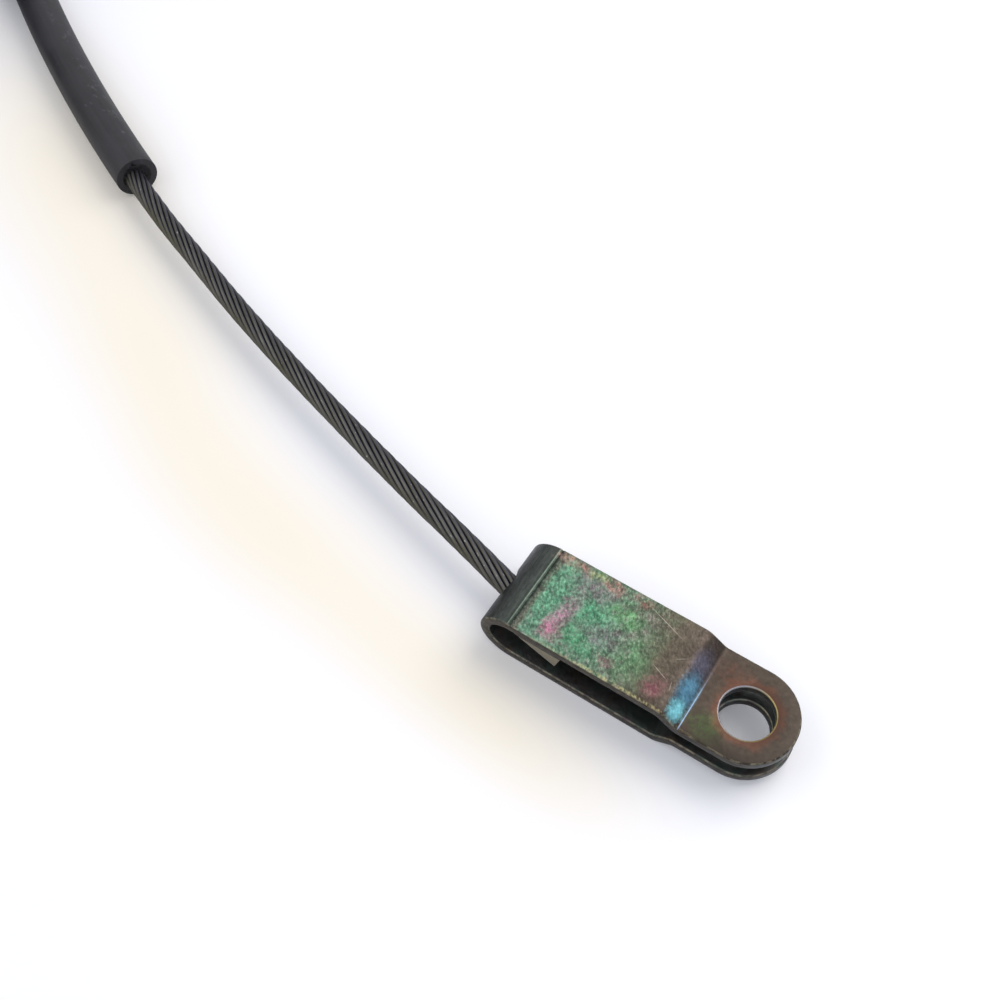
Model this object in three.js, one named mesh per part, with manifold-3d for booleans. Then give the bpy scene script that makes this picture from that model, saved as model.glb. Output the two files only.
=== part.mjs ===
// Parking brake cable: a folded steel clevis on a wire rope, the tube that the
// rope slides in, a coil of that tube, and a nipple at the other end.
// Millimetres, +Z up. The clevis lies on the plane z = 0 with its ears towards +X,
// and the origin is below the middle of the clevis.
import * as THREE from 'three';
import { mergeVertices } from 'three/addons/utils/BufferGeometryUtils.js';
import Module from 'manifold-3d';

// Clevis, one folded strip of plated steel
const STRIP_WIDTH = 15.4;
const STRIP_THICKNESS = 1.7;
const CLEVIS_HEIGHT = 10.4;
const EAR_GAP = 3.0;
const BEND_TO_PIN = 41.0;
const PIN_DIAMETER = 8.0;
const PIN_CLEARANCE = 0.2;
const PIN_HOLE_CHAMFER = 0.3;
const JOG_START_TO_PIN = 10.6;
const JOG_END_TO_PIN = 7.6;
const JOG_INNER_RADIUS = 1.2;
const TOOL_MARK_DEPTH = 0.12;
const TOOL_MARK_WIDTH = 0.7;

// Lugs folded down from the edges of the upper leg
const LUG_START_TO_BEND = 6.0;
const LUG_END_TO_BEND = 14.2;
const LUG_DEPTH = 3.3;
const LUG_UNDERCUT = 0.9;
const LUG_THICKNESS = 1.4;

// Wire rope
const WIRE_DIAMETER = 3.8;
const CABLE_HOLE_CLEARANCE = 1.5;
const SWIVEL_YAW = THREE.MathUtils.degToRad(-15.5);
const STRAIGHT_LEAD = 9.0;
const WIRE_END_PROUD = 0.5;

// Sleeves swaged on the two ends of the rope
const STOP_LENGTH = 3.6;
const SLEEVE_CHAMFER = 0.5;
const NIPPLE_DIAMETER = 8.0;
const NIPPLE_LENGTH = 12.0;

// Tube
const TUBE_DIAMETER = 8.2;
const TUBE_BORE = 5.8;
const TUBE_ARC_RADIUS = 454.2;
const NEAR_TUBE_LENGTH = 80.0;
const FAR_TUBE_LENGTH = 155.7;
const FAR_TUBE_START_ANGLE = -14;
const WIRE_OFFSET_IN_BORE = 0.6;

// Sliding travel of the rope, from its place at rest
const PULL_TRAVEL = 40.0;
const NEAR_WIRE_IN_TUBE = 50.0;
const FAR_WIRE_IN_TUBE = 12.0;
const NIPPLE_STOP_GAP = 0.5;

// Coil of the tube, two turns beside each other and two layers
const COIL_MIDDLE_RADIUS = 42.0;
const COIL_COLUMNS = 2;
const COIL_LAYERS = 2;

// Ties round the coil. The ties up to this index go round the free end of the tube as well
const TIE_ANGLES = [10, 135, 262];
const TIE_OVER_FAR_TUBE = 1;
const TIE_WIDTH = 4.0;
const TIE_THICKNESS = 0.8;
const TIE_HEAD_LENGTH = 5.0;
const TIE_HEAD_DEPTH = 3.2;

// Space kept between solids that touch on the real cable
const SOLID_GAP = 0.3;

// Facets of round stretches
const FOLD_STEPS = 12;
const CORNER_STEPS = 4;
const BALL_STEPS = 6;
const ROUND_STEPS = 48;
const TIE_STEPS = 24;

// Places that follow from the sizes above
const earRadius = STRIP_WIDTH / 2;
const clevisLength = BEND_TO_PIN + earRadius;
const bendX = -clevisLength / 2;
const pinX = bendX + BEND_TO_PIN;
const cableZ = CLEVIS_HEIGHT / 2;
const pinHoleRadius = (PIN_DIAMETER + PIN_CLEARANCE) / 2;
const wireRadius = WIRE_DIAMETER / 2;
const sleeveBore = wireRadius + SOLID_GAP;
const tubeRadius = TUBE_DIAMETER / 2;
const stopRadius = CLEVIS_HEIGHT / 2 - STRIP_THICKNESS - SOLID_GAP;
const anchor = new THREE.Vector3(bendX + STRIP_THICKNESS / 2, 0, cableZ);
const wireDirection = new THREE.Vector3(Math.cos(SWIVEL_YAW), Math.sin(SWIVEL_YAW), 0);

// Route of the exposed rope seen from above, from the tube's mouth to the clevis,
// as places relative to the anchor in the bend of the clevis
const EXPOSED_ROUTE = [
  [-97.65, 30.8], [-85.95, 26.4], [-74.75, 22.2], [-63.75, 18.4], [-52.75, 14.9],
  [-42.15, 11.7], [-31.85, 8.7], [-21.85, 5.9], [-15.4, 4.2],
];
const TUBE_ARC_CENTRE = [74.73, 451.64];
const MOUTH_ANGLE = THREE.MathUtils.degToRad(-114);
const tubeCentre = new THREE.Vector3(
  anchor.x + TUBE_ARC_CENTRE[0], anchor.y + TUBE_ARC_CENTRE[1], tubeRadius);
const wireArcRadius = TUBE_ARC_RADIUS + WIRE_OFFSET_IN_BORE;

// The coil stands on its ties, beside the inner end of the near tube
const coilBase = TIE_THICKNESS + SOLID_GAP;
const coilHalfWidth = COIL_COLUMNS * tubeRadius;
const coilTop = coilBase + COIL_LAYERS * TUBE_DIAMETER;
const coilOuterRadius = COIL_MIDDLE_RADIUS + coilHalfWidth;
const outerTurnRadius = coilOuterRadius - tubeRadius;
const nearTubeEndAngle = MOUTH_ANGLE - NEAR_TUBE_LENGTH / TUBE_ARC_RADIUS;
const coilCentre = placeCoil();
const farZ = coilTop + SOLID_GAP + tubeRadius;
const farMouthAngle = THREE.MathUtils.degToRad(FAR_TUBE_START_ANGLE) + FAR_TUBE_LENGTH / outerTurnRadius;
const farExposed = PULL_TRAVEL + NIPPLE_STOP_GAP;
const nippleAngle = farMouthAngle + farExposed / outerTurnRadius;

const wasm = await Module();
wasm.setup();

function placeCoil() {
  const end = onCircle(tubeCentre, TUBE_ARC_RADIUS, nearTubeEndAngle);
  const inward = new THREE.Vector3().subVectors(tubeCentre, end).setZ(0).normalize();
  const ahead = new THREE.Vector3(-inward.y, inward.x, 0);
  const reach = coilOuterRadius + SOLID_GAP;
  const forward = Math.sqrt(reach ** 2 - (outerTurnRadius - tubeRadius) ** 2);
  return end.addScaledVector(ahead, forward).addScaledVector(inward, -outerTurnRadius).setZ(0);
}

function onCircle(centre, radius, angle, z = centre.z) {
  return new THREE.Vector3(
    centre.x + radius * Math.cos(angle), centre.y + radius * Math.sin(angle), z);
}

function arcPoints(centre, radius, from, to, z, steps) {
  return Array.from({ length: steps + 1 }, (_, i) =>
    onCircle(centre, radius, from + (to - from) * i / steps, z));
}

// A closed mesh as a solid for cutting and joining, and back again
function solidOf(geometry) {
  const bare = geometry.clone();
  bare.deleteAttribute('normal');
  bare.deleteAttribute('uv');
  const merged = mergeVertices(bare, 1e-5);
  const corners = [];
  for (let i = 0; i < merged.index.count; i += 3) {
    const [a, b, c] = [0, 1, 2].map((k) => merged.index.getX(i + k));
    if (a !== b && b !== c && c !== a) corners.push(a, b, c);
  }
  return new wasm.Manifold(new wasm.Mesh({
    numProp: 3,
    vertProperties: new Float32Array(merged.attributes.position.array),
    triVerts: new Uint32Array(corners),
  }));
}

function geometryOf(solid) {
  const mesh = solid.getMesh();
  const geometry = new THREE.BufferGeometry();
  geometry.setAttribute('position', new THREE.BufferAttribute(new Float32Array(mesh.vertProperties), 3));
  geometry.setIndex(new THREE.BufferAttribute(new Uint32Array(mesh.triVerts), 1));
  geometry.computeVertexNormals();
  return geometry;
}

function cylinder(radius, length) {
  return new THREE.CylinderGeometry(radius, radius, length, ROUND_STEPS);
}

// The two sides of a bent strip: its middle line with each corner rounded, set off
// by half the thickness to the left and to the right
function stripOutline(corners, radii, thickness) {
  const left = [];
  const right = [];
  const add = (point, normal) => {
    left.push(point.clone().addScaledVector(normal, thickness / 2));
    right.push(point.clone().addScaledVector(normal, -thickness / 2));
  };
  const turned = (v) => new THREE.Vector2(-v.y, v.x);
  corners.forEach((corner, i) => {
    const before = i > 0 ? corner.clone().sub(corners[i - 1]).normalize() : null;
    const after = i < corners.length - 1 ? corners[i + 1].clone().sub(corner).normalize() : null;
    if (!before || !after) {
      add(corner, turned(before ?? after));
      return;
    }
    const turn = Math.atan2(before.cross(after), before.dot(after));
    const start = corner.clone().addScaledVector(before, -radii[i] * Math.tan(Math.abs(turn) / 2));
    const side = turned(before).multiplyScalar(Math.sign(turn));
    const centre = start.clone().addScaledVector(side, radii[i]);
    for (let k = 0; k <= FOLD_STEPS; k += 1) {
      const normal = turned(before).rotateAround(new THREE.Vector2(), turn * k / FOLD_STEPS);
      add(centre.clone().addScaledVector(normal, -radii[i] * Math.sign(turn)), normal);
    }
  });
  return new THREE.Shape([...left, ...right.reverse()]);
}

// A shape drawn in the XZ plane, given a width across Y
function acrossY(shape, width, middleY = 0) {
  const geometry = new THREE.ExtrudeGeometry(shape, { depth: width, bevelEnabled: false });
  return geometry.rotateX(Math.PI / 2).translate(0, middleY + width / 2, 0);
}

function clevisStrip() {
  const upperLeg = CLEVIS_HEIGHT - STRIP_THICKNESS / 2;
  const upperEar = cableZ + (EAR_GAP + STRIP_THICKNESS) / 2;
  const bendRadius = (CLEVIS_HEIGHT - STRIP_THICKNESS) / 2;
  const jogRadius = JOG_INNER_RADIUS + STRIP_THICKNESS / 2;
  const upperHalf = [
    [pinX + earRadius + 1, upperEar],
    [pinX - JOG_END_TO_PIN, upperEar],
    [pinX - JOG_START_TO_PIN, upperLeg],
    [bendX + STRIP_THICKNESS / 2, upperLeg],
  ];
  const lowerHalf = upperHalf.map(([x, z]) => [x, CLEVIS_HEIGHT - z]).reverse();
  const corners = [...upperHalf, ...lowerHalf].map(([x, z]) => new THREE.Vector2(x, z));
  const radii = [0, jogRadius, jogRadius, bendRadius, bendRadius, jogRadius, jogRadius, 0];
  return solidOf(acrossY(stripOutline(corners, radii, STRIP_THICKNESS), STRIP_WIDTH));
}

// The strip seen from above, with its round ear ends
function planOutline() {
  const shape = new THREE.Shape();
  shape.moveTo(bendX - 1, -earRadius);
  shape.lineTo(pinX, -earRadius);
  shape.absarc(pinX, 0, earRadius, -Math.PI / 2, Math.PI / 2, false);
  shape.lineTo(bendX - 1, earRadius);
  const depth = CLEVIS_HEIGHT + 2;
  const geometry = new THREE.ExtrudeGeometry(shape, { depth, bevelEnabled: false, curveSegments: ROUND_STEPS / 2 });
  return solidOf(geometry.translate(0, 0, -1));
}

// The pin hole through both ears, with a small chamfer on each outer face
function pinCutter() {
  const lowFace = cableZ - EAR_GAP / 2 - STRIP_THICKNESS;
  const highFace = CLEVIS_HEIGHT - lowFace;
  const wide = pinHoleRadius + 2 * PIN_HOLE_CHAMFER;
  const profile = [
    [0, lowFace - PIN_HOLE_CHAMFER], [wide, lowFace - PIN_HOLE_CHAMFER],
    [pinHoleRadius, lowFace + PIN_HOLE_CHAMFER], [pinHoleRadius, highFace - PIN_HOLE_CHAMFER],
    [wide, highFace + PIN_HOLE_CHAMFER], [0, highFace + PIN_HOLE_CHAMFER],
  ].map(([x, y]) => new THREE.Vector2(x, y));
  const geometry = new THREE.LatheGeometry(profile, ROUND_STEPS).rotateX(Math.PI / 2);
  return solidOf(geometry.translate(pinX, 0, 0));
}

function cableHoleCutter() {
  const radius = (WIRE_DIAMETER + CABLE_HOLE_CLEARANCE) / 2;
  const length = CLEVIS_HEIGHT / 2 + 2;
  return solidOf(cylinder(radius, length).rotateZ(Math.PI / 2).translate(bendX + length / 2 - 1, 0, cableZ));
}

// The shallow line that the folding tool pressed across the upper leg
function toolMarkCutter() {
  const x = bendX + CLEVIS_HEIGHT / 2;
  const shape = new THREE.Shape([
    new THREE.Vector2(x - TOOL_MARK_WIDTH / 2, CLEVIS_HEIGHT + TOOL_MARK_DEPTH / 4),
    new THREE.Vector2(x, CLEVIS_HEIGHT - TOOL_MARK_DEPTH),
    new THREE.Vector2(x + TOOL_MARK_WIDTH / 2, CLEVIS_HEIGHT + TOOL_MARK_DEPTH / 4),
  ]);
  return solidOf(acrossY(shape, STRIP_WIDTH + 2));
}

function lug(side) {
  const underside = CLEVIS_HEIGHT - STRIP_THICKNESS;
  const start = bendX + LUG_START_TO_BEND;
  const end = bendX + LUG_END_TO_BEND;
  const shape = new THREE.Shape([
    new THREE.Vector2(start, underside + STRIP_THICKNESS / 2),
    new THREE.Vector2(start, underside),
    new THREE.Vector2(end - LUG_UNDERCUT, underside - LUG_DEPTH),
    new THREE.Vector2(end, underside),
    new THREE.Vector2(end, underside + STRIP_THICKNESS / 2),
  ]);
  return solidOf(acrossY(shape, LUG_THICKNESS, side * (STRIP_WIDTH - LUG_THICKNESS) / 2));
}

function buildClevis() {
  const folded = clevisStrip().intersect(planOutline());
  const withLugs = folded.add(lug(-1)).add(lug(1));
  const cut = withLugs.subtract(pinCutter()).subtract(cableHoleCutter()).subtract(toolMarkCutter());
  return geometryOf(cut);
}

// A sleeve turned about Z with a bore for the rope. Its first end may be a ball.
function sleeve(radius, length, ballEnd) {
  const profile = [[sleeveBore, length], [radius - SLEEVE_CHAMFER, length], [radius, length - SLEEVE_CHAMFER]];
  if (ballEnd) {
    const lowest = Math.acos(sleeveBore / radius);
    for (let k = 0; k <= BALL_STEPS; k += 1) {
      const angle = -lowest * k / BALL_STEPS;
      profile.push([radius * Math.cos(angle), radius * Math.sin(angle)]);
    }
  } else {
    profile.push([radius, SLEEVE_CHAMFER], [radius - SLEEVE_CHAMFER, 0], [sleeveBore, 0]);
  }
  profile.push(profile[0]);
  return new THREE.LatheGeometry(profile.reverse().map(([x, y]) => new THREE.Vector2(x, y)), ROUND_STEPS / 2)
    .rotateX(Math.PI / 2);
}

// A plain cord along a route, its section a polygon with or without a bore
function cord(points, steps, radius, sides, bore = 0) {
  const ring = (r) => Array.from({ length: sides }, (_, i) => {
    const angle = (i + 0.5) * 2 * Math.PI / sides;
    return new THREE.Vector2(r * Math.cos(angle), r * Math.sin(angle));
  });
  const section = new THREE.Shape(ring(radius));
  if (bore > 0) section.holes.push(new THREE.Path(ring(bore).reverse()));
  const extrudePath = new THREE.CatmullRomCurve3(points, false, 'centripetal');
  return new THREE.ExtrudeGeometry(section, { steps, extrudePath, bevelEnabled: false });
}

function nearWireRoute() {
  const inner = MOUTH_ANGLE - NEAR_WIRE_IN_TUBE / wireArcRadius;
  const inTube = arcPoints(tubeCentre, wireArcRadius, inner, MOUTH_ANGLE, tubeRadius, 6);
  const exposed = EXPOSED_ROUTE.map(([x, y], i) => {
    const rise = (i + 1) / EXPOSED_ROUTE.length;
    return new THREE.Vector3(anchor.x + x, anchor.y + y, THREE.MathUtils.lerp(tubeRadius, cableZ, rise));
  });
  const end = stopCentreDistance() + STOP_LENGTH + WIRE_END_PROUD;
  const straight = [-STRAIGHT_LEAD, -STRAIGHT_LEAD / 2, 0, end / 2, end]
    .map((along) => anchor.clone().addScaledVector(wireDirection, along));
  return [...inTube, ...exposed, ...straight];
}

// How far along the rope the ball end of the stop has its centre: on the axis of the bend
function stopCentreDistance() {
  return (bendX + CLEVIS_HEIGHT / 2 - anchor.x) / wireDirection.x;
}

function coilRing() {
  const profile = [];
  const corner = (r, z, from) => {
    for (let k = 0; k <= CORNER_STEPS; k += 1) {
      const angle = from + Math.PI / 2 * k / CORNER_STEPS;
      profile.push(new THREE.Vector2(r + tubeRadius * Math.cos(angle), z + tubeRadius * Math.sin(angle)));
    }
  };
  const inner = COIL_MIDDLE_RADIUS - coilHalfWidth + tubeRadius;
  corner(outerTurnRadius, coilBase + tubeRadius, -Math.PI / 2);
  corner(outerTurnRadius, coilTop - tubeRadius, 0);
  corner(inner, coilTop - tubeRadius, Math.PI / 2);
  corner(inner, coilBase + tubeRadius, Math.PI);
  profile.push(profile[0].clone());
  return new THREE.LatheGeometry(profile, ROUND_STEPS).rotateX(Math.PI / 2);
}

// The convex line round circles of the tube's size, set off by a distance
function wrap(centres, offset) {
  const points = centres.flatMap(([x, y]) => Array.from({ length: TIE_STEPS }, (_, i) => {
    const angle = i * 2 * Math.PI / TIE_STEPS;
    const r = tubeRadius + offset;
    return new THREE.Vector2(x + r * Math.cos(angle), y + r * Math.sin(angle));
  })).sort((a, b) => a.x - b.x || a.y - b.y);
  const half = (list) => list.reduce((hull, point) => {
    while (hull.length > 1) {
      const [a, b] = hull.slice(-2);
      if (b.clone().sub(a).cross(point.clone().sub(b)) > 1e-6) break;
      hull.pop();
    }
    return [...hull, point];
  }, []);
  return [...half(points).slice(0, -1), ...half([...points].reverse()).slice(0, -1)];
}

// One tie in its own plane: x is the distance from the coil's axis, y is the height
function tieGeometry(overFarTube) {
  const inner = COIL_MIDDLE_RADIUS - coilHalfWidth + tubeRadius;
  const centres = [inner, outerTurnRadius]
    .flatMap((r) => [coilBase + tubeRadius, coilTop - tubeRadius].map((z) => [r, z]));
  if (overFarTube) centres.push([outerTurnRadius, farZ]);
  const band = new THREE.Shape(wrap(centres, SOLID_GAP + TIE_THICKNESS));
  band.holes.push(new THREE.Path(wrap(centres, SOLID_GAP).reverse()));
  const loop = new THREE.ExtrudeGeometry(band, { depth: TIE_WIDTH, bevelEnabled: false });
  const head = new THREE.BoxGeometry(TIE_HEAD_DEPTH, TIE_HEAD_LENGTH, TIE_HEAD_LENGTH);
  const headX = inner - tubeRadius - SOLID_GAP - TIE_HEAD_DEPTH / 2;
  head.translate(headX, (coilBase + coilTop) / 2, TIE_WIDTH / 2);
  const joined = solidOf(loop).add(solidOf(head));
  return geometryOf(joined).translate(0, 0, -TIE_WIDTH / 2).rotateX(Math.PI / 2);
}

const finishes = {
  plating: { color: 0x4f5a45, roughness: 0.42, metalness: 0.85 },
  rope: { color: 0x4b4a44, roughness: 0.5, metalness: 0.8 },
  sleeves: { color: 0x6a6a66, roughness: 0.45, metalness: 0.85 },
  tube: { color: 0x17181b, roughness: 0.6, metalness: 0.0 },
  tie: { color: 0x101012, roughness: 0.5, metalness: 0.0 },
};

function piece(name, geometry, finish) {
  const mesh = new THREE.Mesh(geometry, new THREE.MeshStandardMaterial(finishes[finish]));
  mesh.name = name;
  return mesh;
}

// Turns a piece made about Z so that its axis runs along a direction
function aim(mesh, position, direction) {
  mesh.position.copy(position);
  mesh.quaternion.setFromUnitVectors(new THREE.Vector3(0, 0, 1), direction);
  return mesh;
}

function nearEnd() {
  const group = new THREE.Group();
  group.add(piece('clevis', buildClevis(), 'plating'));
  const stop = piece('end_stop', sleeve(stopRadius, STOP_LENGTH, true), 'sleeves');
  const stopCentre = anchor.clone().addScaledVector(wireDirection, stopCentreDistance());
  group.add(aim(stop, stopCentre, wireDirection));
  group.add(piece('near_wire', cord(nearWireRoute(), 24, wireRadius, 8), 'rope'));
  const tubeRoute = arcPoints(tubeCentre, TUBE_ARC_RADIUS, nearTubeEndAngle, MOUTH_ANGLE, tubeRadius, 6);
  group.add(piece('near_tube', cord(tubeRoute, 6, tubeRadius, 12, TUBE_BORE / 2), 'tube'));
  return group;
}

function farEnd() {
  const group = new THREE.Group();
  const startAngle = THREE.MathUtils.degToRad(FAR_TUBE_START_ANGLE);
  const tubeRoute = arcPoints(coilCentre, outerTurnRadius, startAngle, farMouthAngle, farZ, 24);
  group.add(piece('far_tube', cord(tubeRoute, 24, tubeRadius, 12, TUBE_BORE / 2), 'tube'));
  const innerAngle = farMouthAngle - FAR_WIRE_IN_TUBE / outerTurnRadius;
  const bent = arcPoints(coilCentre, outerTurnRadius, innerAngle, nippleAngle, farZ, 16);
  const face = onCircle(coilCentre, outerTurnRadius, nippleAngle, farZ);
  const ahead = new THREE.Vector3(-Math.sin(nippleAngle), Math.cos(nippleAngle), 0);
  const straight = [0.3, 0.6, 1].map((share) =>
    face.clone().addScaledVector(ahead, share * (NIPPLE_LENGTH + WIRE_END_PROUD)));
  group.add(piece('far_wire', cord([...bent, ...straight], 22, wireRadius, 8), 'rope'));
  const nipple = piece('far_nipple', sleeve(NIPPLE_DIAMETER / 2, NIPPLE_LENGTH, false), 'sleeves');
  group.add(aim(nipple, face, ahead));
  return group;
}

function coil() {
  const group = new THREE.Group();
  group.position.copy(coilCentre);
  group.add(piece('coiled_tube', coilRing(), 'tube'));
  TIE_ANGLES.forEach((degrees, i) => {
    const tie = piece(`coil_tie_${i + 1}`, tieGeometry(i <= TIE_OVER_FAR_TUBE), 'tie');
    tie.rotation.z = THREE.MathUtils.degToRad(degrees);
    group.add(tie);
  });
  return group;
}

const cable = new THREE.Group();
cable.add(nearEnd(), coil(), farEnd());

export default cable;
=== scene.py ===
"""Parking brake cable on a pale table: folded clevis, wire rope, tube, coil and nipple."""
import logging
import math
import random
from dataclasses import dataclass, field
from enum import Enum

import bmesh
import bpy
from mathutils import Matrix, Vector


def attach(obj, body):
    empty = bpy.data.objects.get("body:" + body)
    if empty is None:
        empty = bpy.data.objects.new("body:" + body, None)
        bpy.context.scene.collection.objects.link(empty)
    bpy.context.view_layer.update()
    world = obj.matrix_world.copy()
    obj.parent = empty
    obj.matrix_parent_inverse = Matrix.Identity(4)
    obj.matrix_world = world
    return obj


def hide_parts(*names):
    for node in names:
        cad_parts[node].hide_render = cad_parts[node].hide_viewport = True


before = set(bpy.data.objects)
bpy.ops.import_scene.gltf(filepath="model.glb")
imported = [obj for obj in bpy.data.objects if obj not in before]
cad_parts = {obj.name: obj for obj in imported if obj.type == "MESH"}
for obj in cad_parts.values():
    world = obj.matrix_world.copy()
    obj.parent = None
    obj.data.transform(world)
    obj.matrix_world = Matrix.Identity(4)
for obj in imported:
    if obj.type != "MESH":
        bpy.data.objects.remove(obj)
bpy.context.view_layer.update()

log = logging.getLogger("brake_cable")

MM = 0.001
FULL_TURN = 2 * math.pi
SHARP_ANGLE = math.radians(38)
RIM = "rim"
LAY_MAP = "lay"
LAY_LAYERS = ("facing", "aside", "along")

Colour = tuple[float, float, float, float]
Profile = tuple[tuple[float, float], ...]


class Body(Enum):
    """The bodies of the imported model."""

    SHEATH = "sheath"
    NEAR_ROPE = "near_rope"
    CLEVIS_END = "clevis_end"
    FAR_ROPE = "far_rope"


class Slot(Enum):
    """The finishes that the record names."""

    PLATING = "plating"
    SLEEVE = "sleeve"
    ROPE = "rope"
    TUBE = "tube"
    TIE = "tie"


def colour(red: int, green: int, blue: int) -> Colour:
    """Turns a colour written as it looks on screen into the renderer's own values.

    Args:
        red: Red share, 0 to 255.
        green: Green share, 0 to 255.
        blue: Blue share, 0 to 255.

    Returns:
        The linear colour with full opacity.
    """
    def linear(share: int) -> float:
        """One share in the renderer's own value."""
        value = share / 255
        return value / 12.92 if value <= 0.04045 else ((value + 0.055) / 1.055) ** 2.4

    return (linear(red), linear(green), linear(blue), 1.0)


class Nodes:
    """Short calls that add and join the nodes of one tree."""

    def __init__(self, tree: bpy.types.NodeTree) -> None:
        """Keeps the tree that the calls write to."""
        self.tree = tree

    def put(self, socket: bpy.types.NodeSocket, value: object) -> None:
        """Joins a socket to another one, or sets its number or colour."""
        if isinstance(value, bpy.types.NodeSocket):
            self.tree.links.new(value, socket)
        else:
            socket.default_value = value

    def add(self, kind: str, inputs: dict | None = None, **settings: object) -> bpy.types.Node:
        """Adds a node.

        Args:
            kind: The node's type name after ShaderNode.
            inputs: Values or sockets by input name or number.
            settings: Properties of the node.

        Returns:
            The new node.
        """
        node = self.tree.nodes.new("ShaderNode" + kind)
        for name, value in settings.items():
            setattr(node, name, value)
        for name, value in (inputs or {}).items():
            self.put(node.inputs[name], value)
        return node

    def math(self, operation: str, first: object, second: object = 0.0,
             third: object = 0.0) -> bpy.types.NodeSocket:
        """Works out one sum on up to three numbers."""
        return self.add("Math", {0: first, 1: second, 2: third}, operation=operation).outputs[0]

    def product(self, first: object, *others: object) -> bpy.types.NodeSocket:
        """Multiplies numbers one after another."""
        for other in others:
            first = self.math("MULTIPLY", first, other)
        return first

    def vector_math(self, operation: str, first: object, second: object) -> bpy.types.NodeSocket:
        """Works out one sum on two vectors."""
        return self.add("VectorMath", {0: first, 1: second}, operation=operation).outputs[0]

    def vector_value(self, operation: str, first: object, second: object) -> bpy.types.NodeSocket:
        """Works out the distance between two vectors, or another sum on them that gives a number."""
        return self.add("VectorMath", {0: first, 1: second}, operation=operation).outputs["Value"]

    def split(self, vector: object) -> bpy.types.NodeOutputs:
        """Parts a vector into X, Y and Z."""
        return self.add("SeparateXYZ", {0: vector}).outputs

    def pair(self, across: object, along: object) -> bpy.types.NodeSocket:
        """Makes a vector of two numbers."""
        return self.add("CombineXYZ", {0: across, 1: along}).outputs[0]

    def noise(self, vector: object, scale: float, detail: float = 2.0,
              roughness: float = 0.5) -> bpy.types.NodeSocket:
        """Adds a noise pattern and gives its value from 0 to 1."""
        inputs = {"Vector": vector, "Scale": scale, "Detail": detail, "Roughness": roughness}
        return self.add("TexNoise", inputs).outputs["Fac"]

    def drift(self, vector: object, scale: float, reach: float, roughness: float = 0.5) -> bpy.types.NodeSocket:
        """A sideways shift that changes from place to place.

        Args:
            vector: The place.
            scale: How close together the changes lie.
            reach: How far the shift goes between its ends.
            roughness: How strong the finer changes are.

        Returns:
            The shift in X and Y.
        """
        inputs = {"Vector": vector, "Scale": scale, "Detail": 3.0, "Roughness": roughness}
        shift = self.add("TexNoise", inputs).outputs["Color"]
        shift = self.vector_math("SUBTRACT", shift, (0.5, 0.5, 0.5))
        return self.vector_math("MULTIPLY", shift, (reach, reach, 0.0))

    def fade(self, value: object, low: float, high: float, start: float = 0.0, end: float = 1.0,
             smooth: bool = True) -> bpy.types.NodeSocket:
        """Carries a value from one range to another.

        Args:
            value: The value.
            low: Where the range starts.
            high: Where the range ends.
            start: The result at its start and before it.
            end: The result at its end and past it.
            smooth: Whether the change starts and ends gently.

        Returns:
            The result.
        """
        kind = "SMOOTHSTEP" if smooth else "LINEAR"
        inputs = {"Value": value, "From Min": low, "From Max": high, "To Min": start, "To Max": end}
        return self.add("MapRange", inputs, interpolation_type=kind, clamp=True).outputs["Result"]

    def line(self, value: object, middle: float, inner: float, outer: float,
             strength: float) -> bpy.types.NodeSocket:
        """A narrow line where a value comes near a middle.

        Args:
            value: The value.
            middle: Where the line lies.
            inner: Half the width that has the full strength.
            outer: Where the line has faded out.
            strength: Its strength.

        Returns:
            The line's mask.
        """
        off = self.math("ABSOLUTE", self.math("SUBTRACT", value, middle))
        return self.fade(off, inner, outer, strength, 0.0)

    def ramp(self, value: object, stops: list[tuple[float, Colour]]) -> bpy.types.NodeSocket:
        """Gives a colour for a value.

        Args:
            value: The value, from 0 to 1.
            stops: The places of the colours and the colours, in order.

        Returns:
            The colour.
        """
        node = self.add("ValToRGB", {"Fac": value})
        elements = node.color_ramp.elements
        while len(elements) < len(stops):
            elements.new(0.5)
        for element, (place, tone) in zip(elements, stops):
            element.position = place
            element.color = tone
        return node.outputs["Color"]

    def mix(self, share: object, first: object, second: object, blend: str = "MIX") -> bpy.types.NodeSocket:
        """Mixes two colours by a share."""
        node = self.add("Mix", {0: share, 6: first, 7: second}, data_type="RGBA", blend_type=blend)
        return node.outputs[2]

    def shaded(self, base: object, shade: object) -> bpy.types.NodeSocket:
        """Makes a colour lighter or darker by a factor."""
        grey = self.add("CombineColor", {0: shade, 1: shade, 2: shade}).outputs[0]
        return self.mix(1.0, base, grey, "MULTIPLY")

    def group(self, tree: bpy.types.NodeTree, **inputs: object) -> bpy.types.Node:
        """Places a node group.

        Args:
            tree: The group.
            inputs: Its values or sockets by name, with _ for spaces.

        Returns:
            The group's node.
        """
        node = self.add("Group", node_tree=tree)
        for name, value in inputs.items():
            self.put(node.inputs[name.replace("_", " ")], value)
        return node

    def bump(self, height: object, strength: float, distance: float) -> bpy.types.NodeSocket:
        """Turns a height into a normal."""
        inputs = {"Height": height, "Strength": strength, "Distance": distance}
        return self.add("Bump", inputs).outputs["Normal"]


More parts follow.
